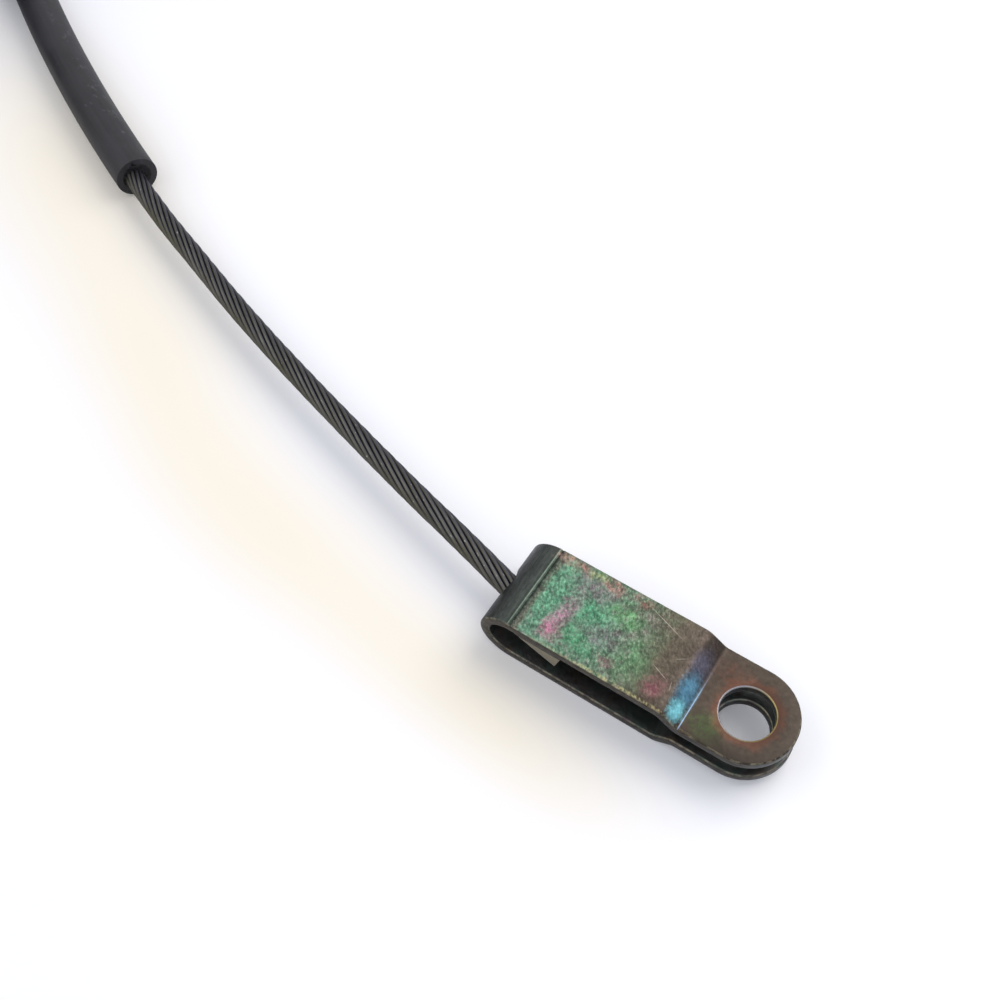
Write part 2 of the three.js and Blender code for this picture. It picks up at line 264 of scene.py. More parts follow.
class Finish:
    """A material under way: its tree, its shader and the object coordinates."""

    def __init__(self, name: str) -> None:
        """Starts a material with one Principled shader."""
        self.material = bpy.data.materials.new(name)
        self.material.use_nodes = True
        self.nodes = Nodes(self.material.node_tree)
        self.shader = self.material.node_tree.nodes["Principled BSDF"]
        self.coordinates = self.nodes.add("TexCoord")

    def place(self) -> bpy.types.NodeSocket:
        """The place on the object, in metres."""
        return self.coordinates.outputs["Object"]

    def lay_of_cord(self) -> bpy.types.NodeOutputs:
        """The share of the way round a cord and the millimetres along it."""
        return self.nodes.split(self.nodes.add("UVMap", uv_map=LAY_MAP).outputs[0])

    def rim(self) -> bpy.types.NodeSocket:
        """1 on a rounded rim and 0 elsewhere."""
        return self.nodes.add("Attribute", attribute_name=RIM).outputs["Fac"]

    def set(self, **inputs: object) -> None:
        """Sets or joins sockets of the shader, named with _ for spaces."""
        for name, value in inputs.items():
            self.nodes.put(self.shader.inputs[name.replace("_", " ")], value)


def new_group(name: str, inputs: dict[str, str], outputs: dict[str, str]) -> tuple[Nodes, dict, dict]:
    """Starts a node group.

    Args:
        name: The group's name.
        inputs: Socket type by input name.
        outputs: Socket type by output name.

    Returns:
        The group's nodes, its input sockets and its output sockets, both by name.
    """
    tree = bpy.data.node_groups.new(name, "ShaderNodeTree")
    for title, kind in inputs.items():
        tree.interface.new_socket(title, in_out="INPUT", socket_type="NodeSocket" + kind)
    for title, kind in outputs.items():
        tree.interface.new_socket(title, in_out="OUTPUT", socket_type="NodeSocket" + kind)
    source = tree.nodes.new("NodeGroupInput")
    target = tree.nodes.new("NodeGroupOutput")
    return Nodes(tree), {s.name: s for s in source.outputs}, {s.name: s for s in target.inputs}


def patch_group() -> bpy.types.NodeTree:
    """A soft oval field: 1 in its middle, 0 outside, with an edge of any softness.

    Returns:
        The node group, with Vector, Centre, Half Size, Turn and Softness.
    """
    sockets = {"Vector": "Vector", "Centre": "Vector", "Half Size": "Vector", "Turn": "Float",
               "Softness": "Float"}
    nodes, inputs, outputs = new_group("soft patch", sockets, {"Mask": "Float"})
    turned = nodes.add("VectorRotate", {"Vector": inputs["Vector"], "Center": inputs["Centre"],
                                        "Angle": inputs["Turn"]}, rotation_type="Z_AXIS").outputs[0]
    away = nodes.vector_math("SUBTRACT", turned, inputs["Centre"])
    shares = nodes.vector_math("DIVIDE", away, inputs["Half Size"])
    distance = nodes.add("VectorMath", {0: shares}, operation="LENGTH").outputs["Value"]
    inner = nodes.math("SUBTRACT", 1.0, inputs["Softness"])
    outer = nodes.math("ADD", 1.0, inputs["Softness"])
    nodes.put(outputs["Mask"], nodes.fade(distance, inner, outer, 1.0, 0.0))
    return nodes.tree


def grain_group() -> bpy.types.NodeTree:
    """Two sizes of grain laid over each other.

    Returns:
        The node group, with Vector and Scale in, and Height and Speck out.
    """
    nodes, inputs, outputs = new_group("grain", {"Vector": "Vector", "Scale": "Float"},
                                       {"Height": "Float", "Speck": "Float"})
    fine = nodes.noise(inputs["Vector"], inputs["Scale"], 3.0, 0.6)
    coarse_scale = nodes.math("MULTIPLY", inputs["Scale"], 0.31)
    coarse = nodes.noise(inputs["Vector"], coarse_scale, 2.0, 0.5)
    lesser = nodes.math("MULTIPLY", coarse, 0.35)
    nodes.put(outputs["Height"], nodes.math("MULTIPLY_ADD", fine, 0.65, lesser))
    nodes.put(outputs["Speck"], nodes.fade(fine, 0.56, 0.72))
    return nodes.tree


@dataclass(frozen=True)
class Tint:
    """A field of colour on the plating, in millimetres seen from above the clevis."""

    tone: Colour
    centre: tuple[float, float]
    half: tuple[float, float]
    strength: float = 0.8
    softness: float = 0.85
    turn: float = 0.0


@dataclass(frozen=True)
class Places:
    """Sockets that say where a point of the clevis lies, in millimetres."""

    exact: bpy.types.NodeSocket
    flat: bpy.types.NodeSocket
    frayed: bpy.types.NodeSocket
    loose: bpy.types.NodeSocket
    x: bpy.types.NodeSocket
    y: bpy.types.NodeSocket
    z: bpy.types.NodeSocket


@dataclass(frozen=True)
class PlatingFinish:
    """Iridescent plating, coloured by the thickness of its film, over rough sheet steel."""

    bands: tuple[tuple[float, Colour], ...] = (
        (-24.4, colour(46, 48, 49)), (-21.6, colour(62, 66, 64)), (-20.0, colour(76, 82, 78)),
        (-19.6, colour(52, 62, 56)), (-18.9, colour(48, 58, 52)), (-18.7, colour(96, 98, 88)),
        (-18.0, colour(110, 112, 100)), (-17.6, colour(104, 142, 120)), (-7.0, colour(100, 132, 110)),
        (-0.5, colour(90, 104, 84)), (2.5, colour(82, 76, 66)), (7.5, colour(66, 58, 54)),
        (11.0, colour(61, 54, 48)), (24.4, colour(60, 54, 49)),
    )
    tints: tuple[Tint, ...] = (
        Tint(colour(114, 180, 144), (-16.2, 1.0), (1.8, 5.4)),
        Tint(colour(90, 164, 126), (-10.2, 0.7), (3.0, 2.0), 0.9),
        Tint(colour(90, 142, 92), (-5.4, 3.0), (2.4, 1.6), 0.75),
        Tint(colour(86, 158, 116), (-9.6, -4.2), (3.8, 1.7)),
        Tint(colour(84, 128, 92), (-1.6, -2.6), (2.6, 2.6), 0.7),
        Tint(colour(140, 128, 134), (-11.2, 4.4), (2.8, 1.5)),
        Tint(colour(122, 118, 122), (-6.4, -1.9), (2.8, 1.7)),
        Tint(colour(88, 80, 72), (0.6, 5.6), (4.2, 1.8)),
        Tint(colour(188, 142, 130), (-15.6, 6.7), (3.0, 0.9)),
        Tint(colour(148, 172, 112), (-12.0, 6.9), (1.5, 0.7), 0.7),
        Tint(colour(196, 104, 146), (-13.6, -4.7), (1.4, 1.5), 0.8),
        Tint(colour(186, 130, 158), (-13.3, -1.4), (1.2, 3.0), 0.8, 0.85, 0.2),
        Tint(colour(170, 112, 108), (-8.9, 6.3), (1.8, 1.0), 0.7),
        Tint(colour(146, 106, 116), (-4.0, -5.0), (1.0, 0.8), 0.7),
        Tint(colour(138, 88, 86), (-4.4, 6.6), (1.3, 0.8), 0.7),
        Tint(colour(126, 74, 88), (3.6, -4.6), (1.3, 1.6), 0.6),
        Tint(colour(66, 82, 52), (12.6, -5.0), (2.4, 1.8), 0.7),
        Tint(colour(78, 52, 44), (12.2, 4.4), (2.2, 1.6), 0.5),
    )
    slope_tints: tuple[Tint, ...] = (
        Tint(colour(90, 90, 110), (7.7, 2.4), (1.2, 2.4), 0.6, 0.7),
        Tint(colour(84, 134, 162), (7.9, -2.2), (1.2, 2.8), 0.8, 0.65),
        Tint(colour(120, 192, 206), (7.9, -5.6), (1.0, 1.7), 0.85, 0.6),
    )
    # painted highlight along the rolled upper rim of the -Y edge, in a gold tone
    edge_gold_highlight: Tint = Tint(colour(196, 184, 136), (-2.0, -7.42), (9.5, 0.26), 0.55, 0.7)
    scratches: tuple[Tint, ...] = (
        Tint(colour(168, 164, 154), (0.0, 5.4), (3.4, 0.05), 0.55, 0.4, 0.326),
        Tint(colour(168, 164, 154), (3.2, -2.1), (1.5, 0.045), 0.5, 0.4, 0.374),
        Tint(colour(160, 156, 148), (4.9, 1.4), (0.9, 0.045), 0.4, 0.4, -0.6),
        Tint(colour(160, 156, 148), (5.6, -3.2), (0.7, 0.045), 0.4, 0.4, 1.3),
    )
    inside: Colour = colour(74, 74, 74)
    sheared: Colour = colour(92, 87, 78)
    # the lugs' cut face, painted lighter than the other cut faces for light bounced onto it from the table
    lug_face_lit: Colour = colour(150, 142, 120)
    halo: Colour = colour(98, 60, 46)
    # painted highlight on the upper pin hole's rim, cool on its left and warm on its right
    pin_highlight_left: Colour = colour(184, 188, 200)
    pin_highlight_right: Colour = colour(190, 172, 106)
    crease: Colour = colour(132, 162, 196)
    mark: Colour = colour(112, 124, 114)
    # painted glints, laid on the grain's specks
    bright: Colour = colour(178, 192, 172)
    greyed: Colour = colour(122, 112, 112)
    # painted highlight in streaks along the bend's width
    bend_highlight_streak: Colour = colour(92, 98, 94)
    cut_dark: Colour = colour(52, 47, 42)
    worn: Colour = colour(160, 152, 130)
    wander: float = 2.6
    fray: float = 1.5
    grain_slant: float = math.radians(62)

    def material(self, clevis: "Clevis", patch: bpy.types.NodeTree,
                 grain: bpy.types.NodeTree) -> bpy.types.Material:
        """Builds the plating's material.

        Args:
            clevis: The clevis, for the places of its pin hole, jog and pressed line.
            patch: The soft patch group.
            grain: The grain group.

        Returns:
            The material.
        """
        finish = Finish("plating")
        nodes = finish.nodes
        at = self.places(finish)
        slanted = nodes.add("VectorRotate", {"Vector": at.exact, "Angle": self.grain_slant},
                            rotation_type="Z_AXIS").outputs[0]
        grains = nodes.group(grain, Vector=nodes.vector_math("MULTIPLY", slanted, (0.78, 1.1, 1.0)),
                             Scale=2.3).outputs
        rough_leg = nodes.product(nodes.fade(at.x, clevis.jog_end_x - 0.5, clevis.jog_end_x + 0.6, 1.0, 0.2),
                                  nodes.fade(at.x, clevis.mark_x - 0.4, clevis.mark_x + 0.8, 0.35, 1.0),
                                  nodes.fade(at.x, -3.0, 4.0, 1.0, 0.6))
        film = self.tinted(nodes, at, clevis, patch)
        film = self.grained(nodes, at, grains, rough_leg, film)
        film = self.marked(nodes, at, clevis, patch, grains, film)
        body = self.faced(finish, at, clevis, film)
        body = self.rubbed(finish, at, clevis, body)
        mottle = nodes.noise(at.exact, 1.3, 4.0, 0.6)
        finish.set(Base_Color=body, Metallic=0.9,
                   Roughness=nodes.fade(mottle, 0.3, 0.7, 0.3, 0.48, smooth=False),
                   Normal=nodes.bump(nodes.product(grains["Height"], rough_leg), 0.55, 0.12 * MM))
        return finish.material

    def places(self, finish: Finish) -> Places:
        """Works out the places that the patterns read.

        Args:
            finish: The material under way.

        Returns:
            The exact place, the place seen from above, and that place frayed and set loose.
        """
        nodes = finish.nodes
        exact = nodes.vector_math("MULTIPLY", finish.place(), (1 / MM, 1 / MM, 1 / MM))
        flat = nodes.vector_math("MULTIPLY", exact, (1, 1, 0))
        frayed = nodes.vector_math("ADD", flat, nodes.drift(exact, 2.2, self.fray, 0.65))
        loose = nodes.vector_math("ADD", frayed, nodes.drift(exact, 0.55, self.wander))
        return Places(exact, flat, frayed, loose, *nodes.split(exact))

    def lay(self, nodes: Nodes, patch: bpy.types.NodeTree, base: bpy.types.NodeSocket, tint: Tint,
            where: bpy.types.NodeSocket, extra: object = 1.0) -> bpy.types.NodeSocket:
        """Lays one field of colour over the others.

        Args:
            nodes: The material's nodes.
            patch: The soft patch group.
            base: The colours below it.
            tint: The field.
            where: The place that it reads.
            extra: A mask that thins it.

        Returns:
            The colours with it.
        """
        mask = nodes.group(patch, Vector=where, Centre=(*tint.centre, 0), Half_Size=(*tint.half, 1.0),
                           Turn=tint.turn, Softness=tint.softness).outputs[0]
        return nodes.mix(nodes.product(mask, tint.strength, extra), base, tint.tone)

    def tinted(self, nodes: Nodes, at: Places, clevis: "Clevis",
               patch: bpy.types.NodeTree) -> bpy.types.NodeSocket:
        """The film's colours: bands across the clevis with fields of colour on them.

        Args:
            nodes: The material's nodes.
            at: The places.
            clevis: The clevis.
            patch: The soft patch group.

        Returns:
            The colours.
        """
        drift = nodes.math("SUBTRACT", nodes.split(at.loose)[0], at.x)
        free = nodes.fade(at.x, clevis.mark_x + 0.6, clevis.mark_x + 3.0, 0.12, 1.0)
        along = nodes.math("MULTIPLY_ADD", drift, free, at.x)
        first, last = self.bands[0][0], self.bands[-1][0]
        film = nodes.ramp(nodes.fade(along, first, last, smooth=False),
                          [((x - first) / (last - first), tone) for x, tone in self.bands])
        mottled = nodes.fade(nodes.noise(at.exact, 0.8, 6.0, 0.7), 0.46, 0.62, 0.0, 0.65)
        leg = nodes.product(nodes.fade(at.x, clevis.mark_x + 1.0, clevis.mark_x + 2.0),
                            nodes.fade(at.x, clevis.jog_end_x - 12.0, clevis.jog_end_x - 7.0, 1.0, 0.0))
        film = nodes.mix(nodes.product(mottled, leg), film, self.greyed)
        patchy = nodes.fade(nodes.noise(at.exact, 1.1, 5.0, 0.72), 0.4, 0.58, 0.35, 1.0)
        for tint in self.tints:
            film = self.lay(nodes, patch, film, tint, at.loose, patchy)
        for tint in self.slope_tints:
            film = self.lay(nodes, patch, film, tint, at.frayed)
        return film

    def grained(self, nodes: Nodes, at: Places, grains: bpy.types.NodeOutputs,
                rough_leg: bpy.types.NodeSocket, film: bpy.types.NodeSocket) -> bpy.types.NodeSocket:
        """Shades the film by the steel's grain and adds specks of painted glint.

        Args:
            nodes: The material's nodes.
            at: The places.
            grains: The grain's height and specks.
            rough_leg: How rough the steel is, from 0 to 1.
            film: The film's colours.

        Returns:
            The colours with their grain.
        """
        fine = nodes.fade(grains["Height"], 0.38, 0.62, 0.48, 1.38, smooth=False)
        broad = nodes.fade(nodes.noise(at.exact, 0.95, 4.0, 0.6), 0.35, 0.65, 0.76, 1.2)
        even = nodes.math("SUBTRACT", 1.0, rough_leg)
        shade = nodes.math("MULTIPLY_ADD", nodes.product(fine, broad), rough_leg, even)
        # Specks of painted glint, strongest on the rough leg.
        glint_specks = nodes.product(nodes.fade(rough_leg, 0.4, 1.0, 0.0, 0.3),
                               nodes.fade(at.x, -6.0, 3.0, 1.0, 0.25), grains["Speck"])
        return nodes.mix(glint_specks, nodes.shaded(film, shade), self.bright)

    def marked(self, nodes: Nodes, at: Places, clevis: "Clevis", patch: bpy.types.NodeTree,
               grains: bpy.types.NodeOutputs, film: bpy.types.NodeSocket) -> bpy.types.NodeSocket:
        """Adds the ring round the pin hole, the scratches, the painted highlight on the edge, the lines and the
        painted highlight streaks on the bend.

        Args:
            nodes: The material's nodes.
            at: The places.
            clevis: The clevis.
            patch: The soft patch group.
            grains: The grain's height and specks.
            film: The film's colours.

        Returns:
            The colours with the marks.
        """
        pin_away = nodes.vector_value("DISTANCE", at.loose, (clevis.pin_x, 0, 0))
        ring = nodes.fade(pin_away, clevis.pin_radius + 0.3, clevis.pin_radius + 1.9, 0.42, 0.0)
        film = nodes.mix(ring, film, self.halo)
        for tint in self.scratches:
            film = self.lay(nodes, patch, film, tint, at.flat)
        # Painted highlight along the -Y edge, broken up by the grain.
        film = self.lay(nodes, patch, film, self.edge_gold_highlight, at.flat, nodes.fade(grains["Height"], 0.42, 0.58))
        crease = nodes.product(nodes.line(at.x, clevis.jog_end_x + 0.35, 0.03, 0.12, 0.6),
                               nodes.fade(at.y, -5.0, 3.5, 1.0, 0.0))
        film = nodes.mix(crease, film, self.crease)
        film = nodes.mix(nodes.line(at.x, clevis.mark_x - 0.3, 0.03, 0.14, 0.5), film, self.mark)
        # Light streaks along the bend's width: painted highlight where the fold catches the light.
        bend_streaks = nodes.noise(nodes.vector_math("MULTIPLY", at.exact, (3.0, 0.35, 3.0)), 1.0, 4.0, 0.65)
        bend_streaks = nodes.product(nodes.fade(bend_streaks, 0.45, 0.65, 0.0, 0.45),
                                nodes.fade(at.x, clevis.mark_x - 1.0, clevis.mark_x - 0.3, 1.0, 0.0))
        return nodes.mix(bend_streaks, film, self.bend_highlight_streak)

    def faced(self, finish: Finish, at: Places, clevis: "Clevis",
              film: bpy.types.NodeSocket) -> bpy.types.NodeSocket:
        """Keeps the film to the upper and outer faces and colours the rest.

        Args:
            finish: The material under way.
            at: The places.
            clevis: The clevis.
            film: The film's colours.

        Returns:
            The colours of all faces.
        """
        nodes = finish.nodes
        facing = nodes.split(finish.coordinates.outputs["Normal"])
        upper = nodes.product(nodes.fade(facing[2], 0.25, 0.6),
                              nodes.fade(at.z, clevis.height * 0.55, clevis.height * 0.62))
        bend = nodes.product(nodes.fade(facing[0], -0.15, -0.5),
                             nodes.fade(at.x, clevis.mark_x - 0.5, clevis.mark_x + 0.5, 1.0, 0.0))
        lower = nodes.ramp(nodes.noise(at.exact, 0.35, 3.0),
                           [(0.3, colour(70, 64, 58)), (0.48, self.inside), (0.58, colour(66, 78, 72)),
                            (0.7, colour(84, 72, 78))])
        body = nodes.mix(nodes.math("MAXIMUM", upper, bend), lower, film)
        streak = nodes.noise(nodes.vector_math("MULTIPLY", at.exact, (0.6, 1.0, 5.0)), 1.1, 3.0, 0.65)
        cut = nodes.mix(nodes.fade(streak, 0.35, 0.7), self.cut_dark, self.sheared)
        underside = clevis.height - clevis.thickness
        lug_start = clevis.bend_x + clevis.lug_start_to_bend
        lug_end = clevis.bend_x + clevis.lug_end_to_bend
        lug = nodes.product(nodes.fade(at.z, underside, underside - 0.3),
                            nodes.fade(at.z, clevis.height / 2 - 0.6, clevis.height / 2 - 0.3),
                            nodes.fade(at.x, lug_start + 0.2, lug_start + 1.4),
                            nodes.fade(at.x, lug_end + 0.1, lug_end + 0.6, 1.0, 0.0))
        side = nodes.fade(nodes.math("ABSOLUTE", facing[1]), 0.75, 0.95)
        # The lug's face takes a lighter tone: painted light bounced up from the table.
        return nodes.mix(side, body, nodes.mix(lug, cut, self.lug_face_lit))

    def rubbed(self, finish: Finish, at: Places, clevis: "Clevis",
               body: bpy.types.NodeSocket) -> bpy.types.NodeSocket:
        """Wears the rims, and paints a highlight on the rim of the upper pin hole.

        Args:
            finish: The material under way.
            at: The places.
            clevis: The clevis.
            body: The colours of all faces.

        Returns:
            The colours with worn rims.
        """
        nodes = finish.nodes
        rim = finish.rim()
        worn = nodes.product(rim, nodes.fade(nodes.noise(at.exact, 0.9, 4.0, 0.7), 0.4, 0.62), 0.45)
        body = nodes.mix(worn, body, self.worn)
        away = nodes.vector_value("DISTANCE", at.flat, (clevis.pin_x, 0, 0))
        # Painted highlight on the rounded rim of the upper pin hole.
        lip = nodes.product(rim, nodes.fade(away, clevis.pin_radius + 0.35, clevis.pin_radius + 0.6, 1.0, 0.0),
                            nodes.fade(at.z, clevis.height / 2, clevis.height / 2 + 2.0, 0.1, 0.6))
        tone = nodes.mix(nodes.fade(at.x, clevis.pin_x - 3.0, clevis.pin_x + 3.0), self.pin_highlight_left,
                         self.pin_highlight_right)
        return nodes.mix(lip, body, tone)


@dataclass(frozen=True)
class RopeFinish:
    """Grey steel wires with painted light: highlights and glints on their crowns, shade in the grooves between
    them and a bluish sheen on the side towards the light.
    """

    crown_highlight: Colour = colour(104, 103, 98)
    flank: Colour = colour(78, 77, 72)
    # painted shade in the grooves between the wires
    groove: Colour = colour(42, 41, 37)
    # painted glints along the wires' crowns
    crown_glint: Colour = colour(178, 180, 180)
    # painted bluish sheen of the sky, on the side facing the light
    skylight_sheen: Colour = colour(70, 71, 82)
    olive: Colour = colour(74, 72, 52)
    sheen_side: tuple[float, float, float] = (0.35, 0.88, 0.32)

    def material(self, strands: int) -> bpy.types.Material:
        """Builds the rope's material on the piece's own UV map.

        Args:
            strands: How many outer wires lie side by side round the rope.

        Returns:
            The material.
        """
        finish = Finish("rope steel")
        nodes = finish.nodes
        around, along, _ = finish.lay_of_cord()
        wire = nodes.product(around, float(strands))
        within = nodes.math("ABSOLUTE", nodes.math("SUBTRACT", nodes.math("FRACT", wire), 0.5))
        # Each wire lighter on its crown and darker in its grooves: painted highlight and painted shade.
        tone = nodes.ramp(nodes.fade(within, 0.0, 0.5, smooth=False),
                          [(0.0, self.crown_highlight), (0.6, self.flank), (0.94, self.groove)])
        own = nodes.add("TexWhiteNoise", {"W": nodes.math("FLOOR", wire)}, noise_dimensions="1D")
        patchy = nodes.noise(nodes.pair(wire, nodes.product(along, 0.35)), 1.6, 4.0, 0.6)
        shade = nodes.product(nodes.fade(own.outputs["Value"], 0.0, 1.0, 0.74, 1.18, smooth=False),
                              nodes.fade(patchy, 0.3, 0.7, 0.7, 1.25, smooth=False))
        tone = nodes.shaded(tone, shade)
        facing = nodes.vector_value("DOT_PRODUCT", finish.coordinates.outputs["Normal"], self.sheen_side)
        olive = nodes.product(nodes.fade(nodes.noise(finish.place(), 160.0, 3.0), 0.4, 0.65, 0.1, 0.5),
                              nodes.fade(facing, -0.2, 0.5, 1.0, 0.0))
        tone = nodes.mix(olive, tone, self.olive)
        # Painted bluish sheen on the side of the rope that faces the light.
        tone = nodes.mix(nodes.fade(facing, 0.0, 0.6, 0.0, 0.85), tone, self.skylight_sheen)
        # Painted glints in short dashes along the wires' crowns.
        glint_marks = nodes.noise(nodes.pair(nodes.product(wire, 2.2), nodes.product(along, 0.9)), 1.0)
        glint_marks = nodes.product(nodes.fade(glint_marks, 0.68, 0.74), nodes.fade(within, 0.12, 0.3, 1.0, 0.0), 0.8)
        tone = nodes.mix(glint_marks, tone, self.crown_glint)
        drawn = nodes.noise(nodes.pair(nodes.product(wire, 9.0), nodes.product(along, 0.25)), 1.0, 3.0, 0.6)
        finish.set(Base_Color=tone, Metallic=0.85,
                   Roughness=nodes.fade(patchy, 0.3, 0.7, 0.34, 0.52, smooth=False),
                   Normal=nodes.bump(drawn, 0.35, 0.05 * MM))
        return finish.material


@dataclass(frozen=True)
class TubeFinish:
    """Matt black plastic with drawn streaks, handling marks and a little dust."""

    base: Colour = colour(24, 24, 28)
    pale: Colour = colour(38, 38, 42)
    scuff: Colour = colour(92, 92, 98)
    drawn: Colour = colour(50, 50, 58)
    rubbed_share: float = 0.33

    def material(self) -> bpy.types.Material:
        """Builds the tube's material on the piece's own UV map.

        Returns:
            The material.
        """
        finish = Finish("tube plastic")
        nodes = finish.nodes
        around, along, _ = finish.lay_of_cord()

        def stretched(across_scale: float, along_scale: float, detail: float,
                      roughness: float) -> bpy.types.NodeSocket:
            """A noise drawn out along the tube."""
            where = nodes.pair(nodes.product(around, across_scale), nodes.product(along, along_scale))
            return nodes.noise(where, 1.0, detail, roughness)

        drawn = stretched(26.0, 0.045, 4.0, 0.6)
        cloudy = nodes.noise(finish.place(), 90.0, 4.0, 0.6)
        fine = nodes.noise(finish.place(), 1500.0)
        tone = nodes.mix(nodes.fade(cloudy, 0.38, 0.66), self.base, self.pale)
        tone = nodes.mix(nodes.fade(drawn, 0.35, 0.7, 0.0, 0.35), tone, self.drawn)
        rubbed = nodes.product(nodes.fade(stretched(7.0, 0.16, 3.0, 0.7), 0.62, 0.74),
                               nodes.fade(fine, 0.45, 0.6), 0.5)
        tone = nodes.mix(rubbed, tone, self.scuff)
        smudged = nodes.product(nodes.fade(stretched(9.0, 0.3, 5.0, 0.75), 0.52, 0.68),
                                nodes.line(around, self.rubbed_share, 0.03, 0.075, 1.0), 0.4)
        tone = nodes.mix(smudged, tone, self.scuff)
        height = nodes.math("MULTIPLY_ADD", fine, 0.4, drawn)
        finish.set(Base_Color=tone, Roughness=nodes.fade(cloudy, 0.3, 0.7, 0.46, 0.6, smooth=False),
                   Specular_IOR_Level=0.42, Normal=nodes.bump(height, 0.25, 0.05 * MM))
        return finish.material


@dataclass(frozen=True)
class SleeveFinish:
    """Cast and pressed zinc with a dull skin and brighter rubbed edges."""

    base: Colour = colour(132, 130, 124)
    dull: Colour = colour(88, 86, 80)
    bright: Colour = colour(190, 188, 180)

    def material(self, grain: bpy.types.NodeTree) -> bpy.types.Material:
        """Builds the sleeves' material.

        Args:
            grain: The grain group.

        Returns:
            The material.
        """
        finish = Finish("sleeve zinc")
        nodes = finish.nodes
        grains = nodes.group(grain, Vector=finish.place(), Scale=2200.0).outputs
        patchy = nodes.noise(finish.place(), 420.0, 4.0, 0.6)
        tone = nodes.mix(nodes.fade(patchy, 0.35, 0.66), self.dull, self.base)
        tone = nodes.mix(nodes.product(grains["Speck"], 0.3), tone, self.bright)
        tone = nodes.mix(nodes.product(finish.rim(), 0.45), tone, self.bright)
        finish.set(Base_Color=tone, Metallic=0.9,
                   Roughness=nodes.fade(patchy, 0.3, 0.7, 0.36, 0.54, smooth=False),
                   Normal=nodes.bump(grains["Height"], 0.3, 0.06 * MM))
        return finish.material


@dataclass(frozen=True)
class TieFinish:
    """Black nylon with a soft shine."""

    base: Colour = colour(24, 24, 26)
    pale: Colour = colour(44, 44, 48)

    def material(self, grain: bpy.types.NodeTree) -> bpy.types.Material:
        """Builds the ties' material.

        Args:
            grain: The grain group.

        Returns:
            The material.
        """
        finish = Finish("tie nylon")
        nodes = finish.nodes
        grains = nodes.group(grain, Vector=finish.place(), Scale=1400.0)
        cloudy = nodes.noise(finish.place(), 260.0, 3.0)
        finish.set(Base_Color=nodes.mix(nodes.fade(cloudy, 0.35, 0.7), self.base, self.pale),
                   Roughness=nodes.fade(cloudy, 0.3, 0.7, 0.36, 0.5, smooth=False),
                   Normal=nodes.bump(grains.outputs["Height"], 0.2, 0.04 * MM))
        return finish.material


def finished(bm: bmesh.types.BMesh, name: str, material: bpy.types.Material) -> bpy.types.Object:
    """Turns a bmesh into a smooth-shaded object at the origin.

    Args:
        bm: The bmesh, which is freed.
        name: The piece's name.
        material: Its material.

    Returns:
        The new object, linked to the scene.
    """
    mesh = bpy.data.meshes.new(name)
    bm.to_mesh(mesh)
    bm.free()
    mesh.materials.append(material)
    mesh.shade_smooth()
    mesh.set_sharp_from_angle(angle=SHARP_ANGLE)
    obj = bpy.data.objects.new(name, mesh)
    bpy.context.scene.collection.objects.link(obj)
    return obj


def moved_verts(geometry: list) -> list[bmesh.types.BMVert]:
    """The vertices among the geometry that an operator gives back."""
    return [item for item in geometry if isinstance(item, bmesh.types.BMVert)]


def bevel_rims(bm: bmesh.types.BMesh, edges: list[bmesh.types.BMEdge], offset: float,
               segments: int = 3) -> None:
    """Rounds edges and marks the new narrow faces as a rim that wears.

    Args:
        bm: The bmesh.
        edges: The edges to round.
        offset: How far the rounding reaches, in metres.
        segments: Faces across the rounding.
    """
    rim = bm.verts.layers.float.get(RIM) or bm.verts.layers.float.new(RIM)
    result = bmesh.ops.bevel(bm, geom=edges, offset=offset, offset_type="OFFSET", segments=segments,
                             profile=0.5, affect="EDGES", clamp_overlap=True, loop_slide=False, material=-1)
    rounding = set(result["faces"])
    for vert in result["verts"]:
        if all(face in rounding for face in vert.link_faces):
            vert[rim] = 1.0


def folded_edges(bm: bmesh.types.BMesh, least: float = math.radians(50)) -> list[bmesh.types.BMEdge]:
    """The edges whose two faces meet at more than an angle."""
    return [edge for edge in bm.edges if edge.is_manifold and edge.calc_face_angle(0.0) > least]


def joined(base: bpy.types.Object, extra: bpy.types.Object) -> None:
    """Joins a helper object's solid into a piece as a single skin.

    Args:
        base: The piece.
        extra: The helper, which is removed.
    """
    modifier = base.modifiers.new("join", "BOOLEAN")
    modifier.operation = "UNION"
    modifier.solver = "EXACT"
    modifier.object = extra
    graph = bpy.context.evaluated_depsgraph_get()
    mesh = bpy.data.meshes.new_from_object(base.evaluated_get(graph))
    base.modifiers.clear()
    base.data = mesh
    mesh.shade_smooth()
    mesh.set_sharp_from_angle(angle=SHARP_ANGLE)
    bpy.data.objects.remove(extra)


@dataclass(frozen=True)
class Stretch:
    """One straight or evenly bent stretch of a line in the XZ plane."""

    start: Vector
    heading: float
    length: float
    bend: float

    def at(self, along: float) -> tuple[Vector, float]:
        """The place and the heading a distance along the stretch."""
        heading = self.heading + self.bend * along
        if self.bend == 0:
            step = Vector((math.cos(self.heading), math.sin(self.heading))) * along
        else:
            step = Vector((math.sin(heading) - math.sin(self.heading),
                           math.cos(self.heading) - math.cos(heading))) / self.bend
        return self.start + step, heading


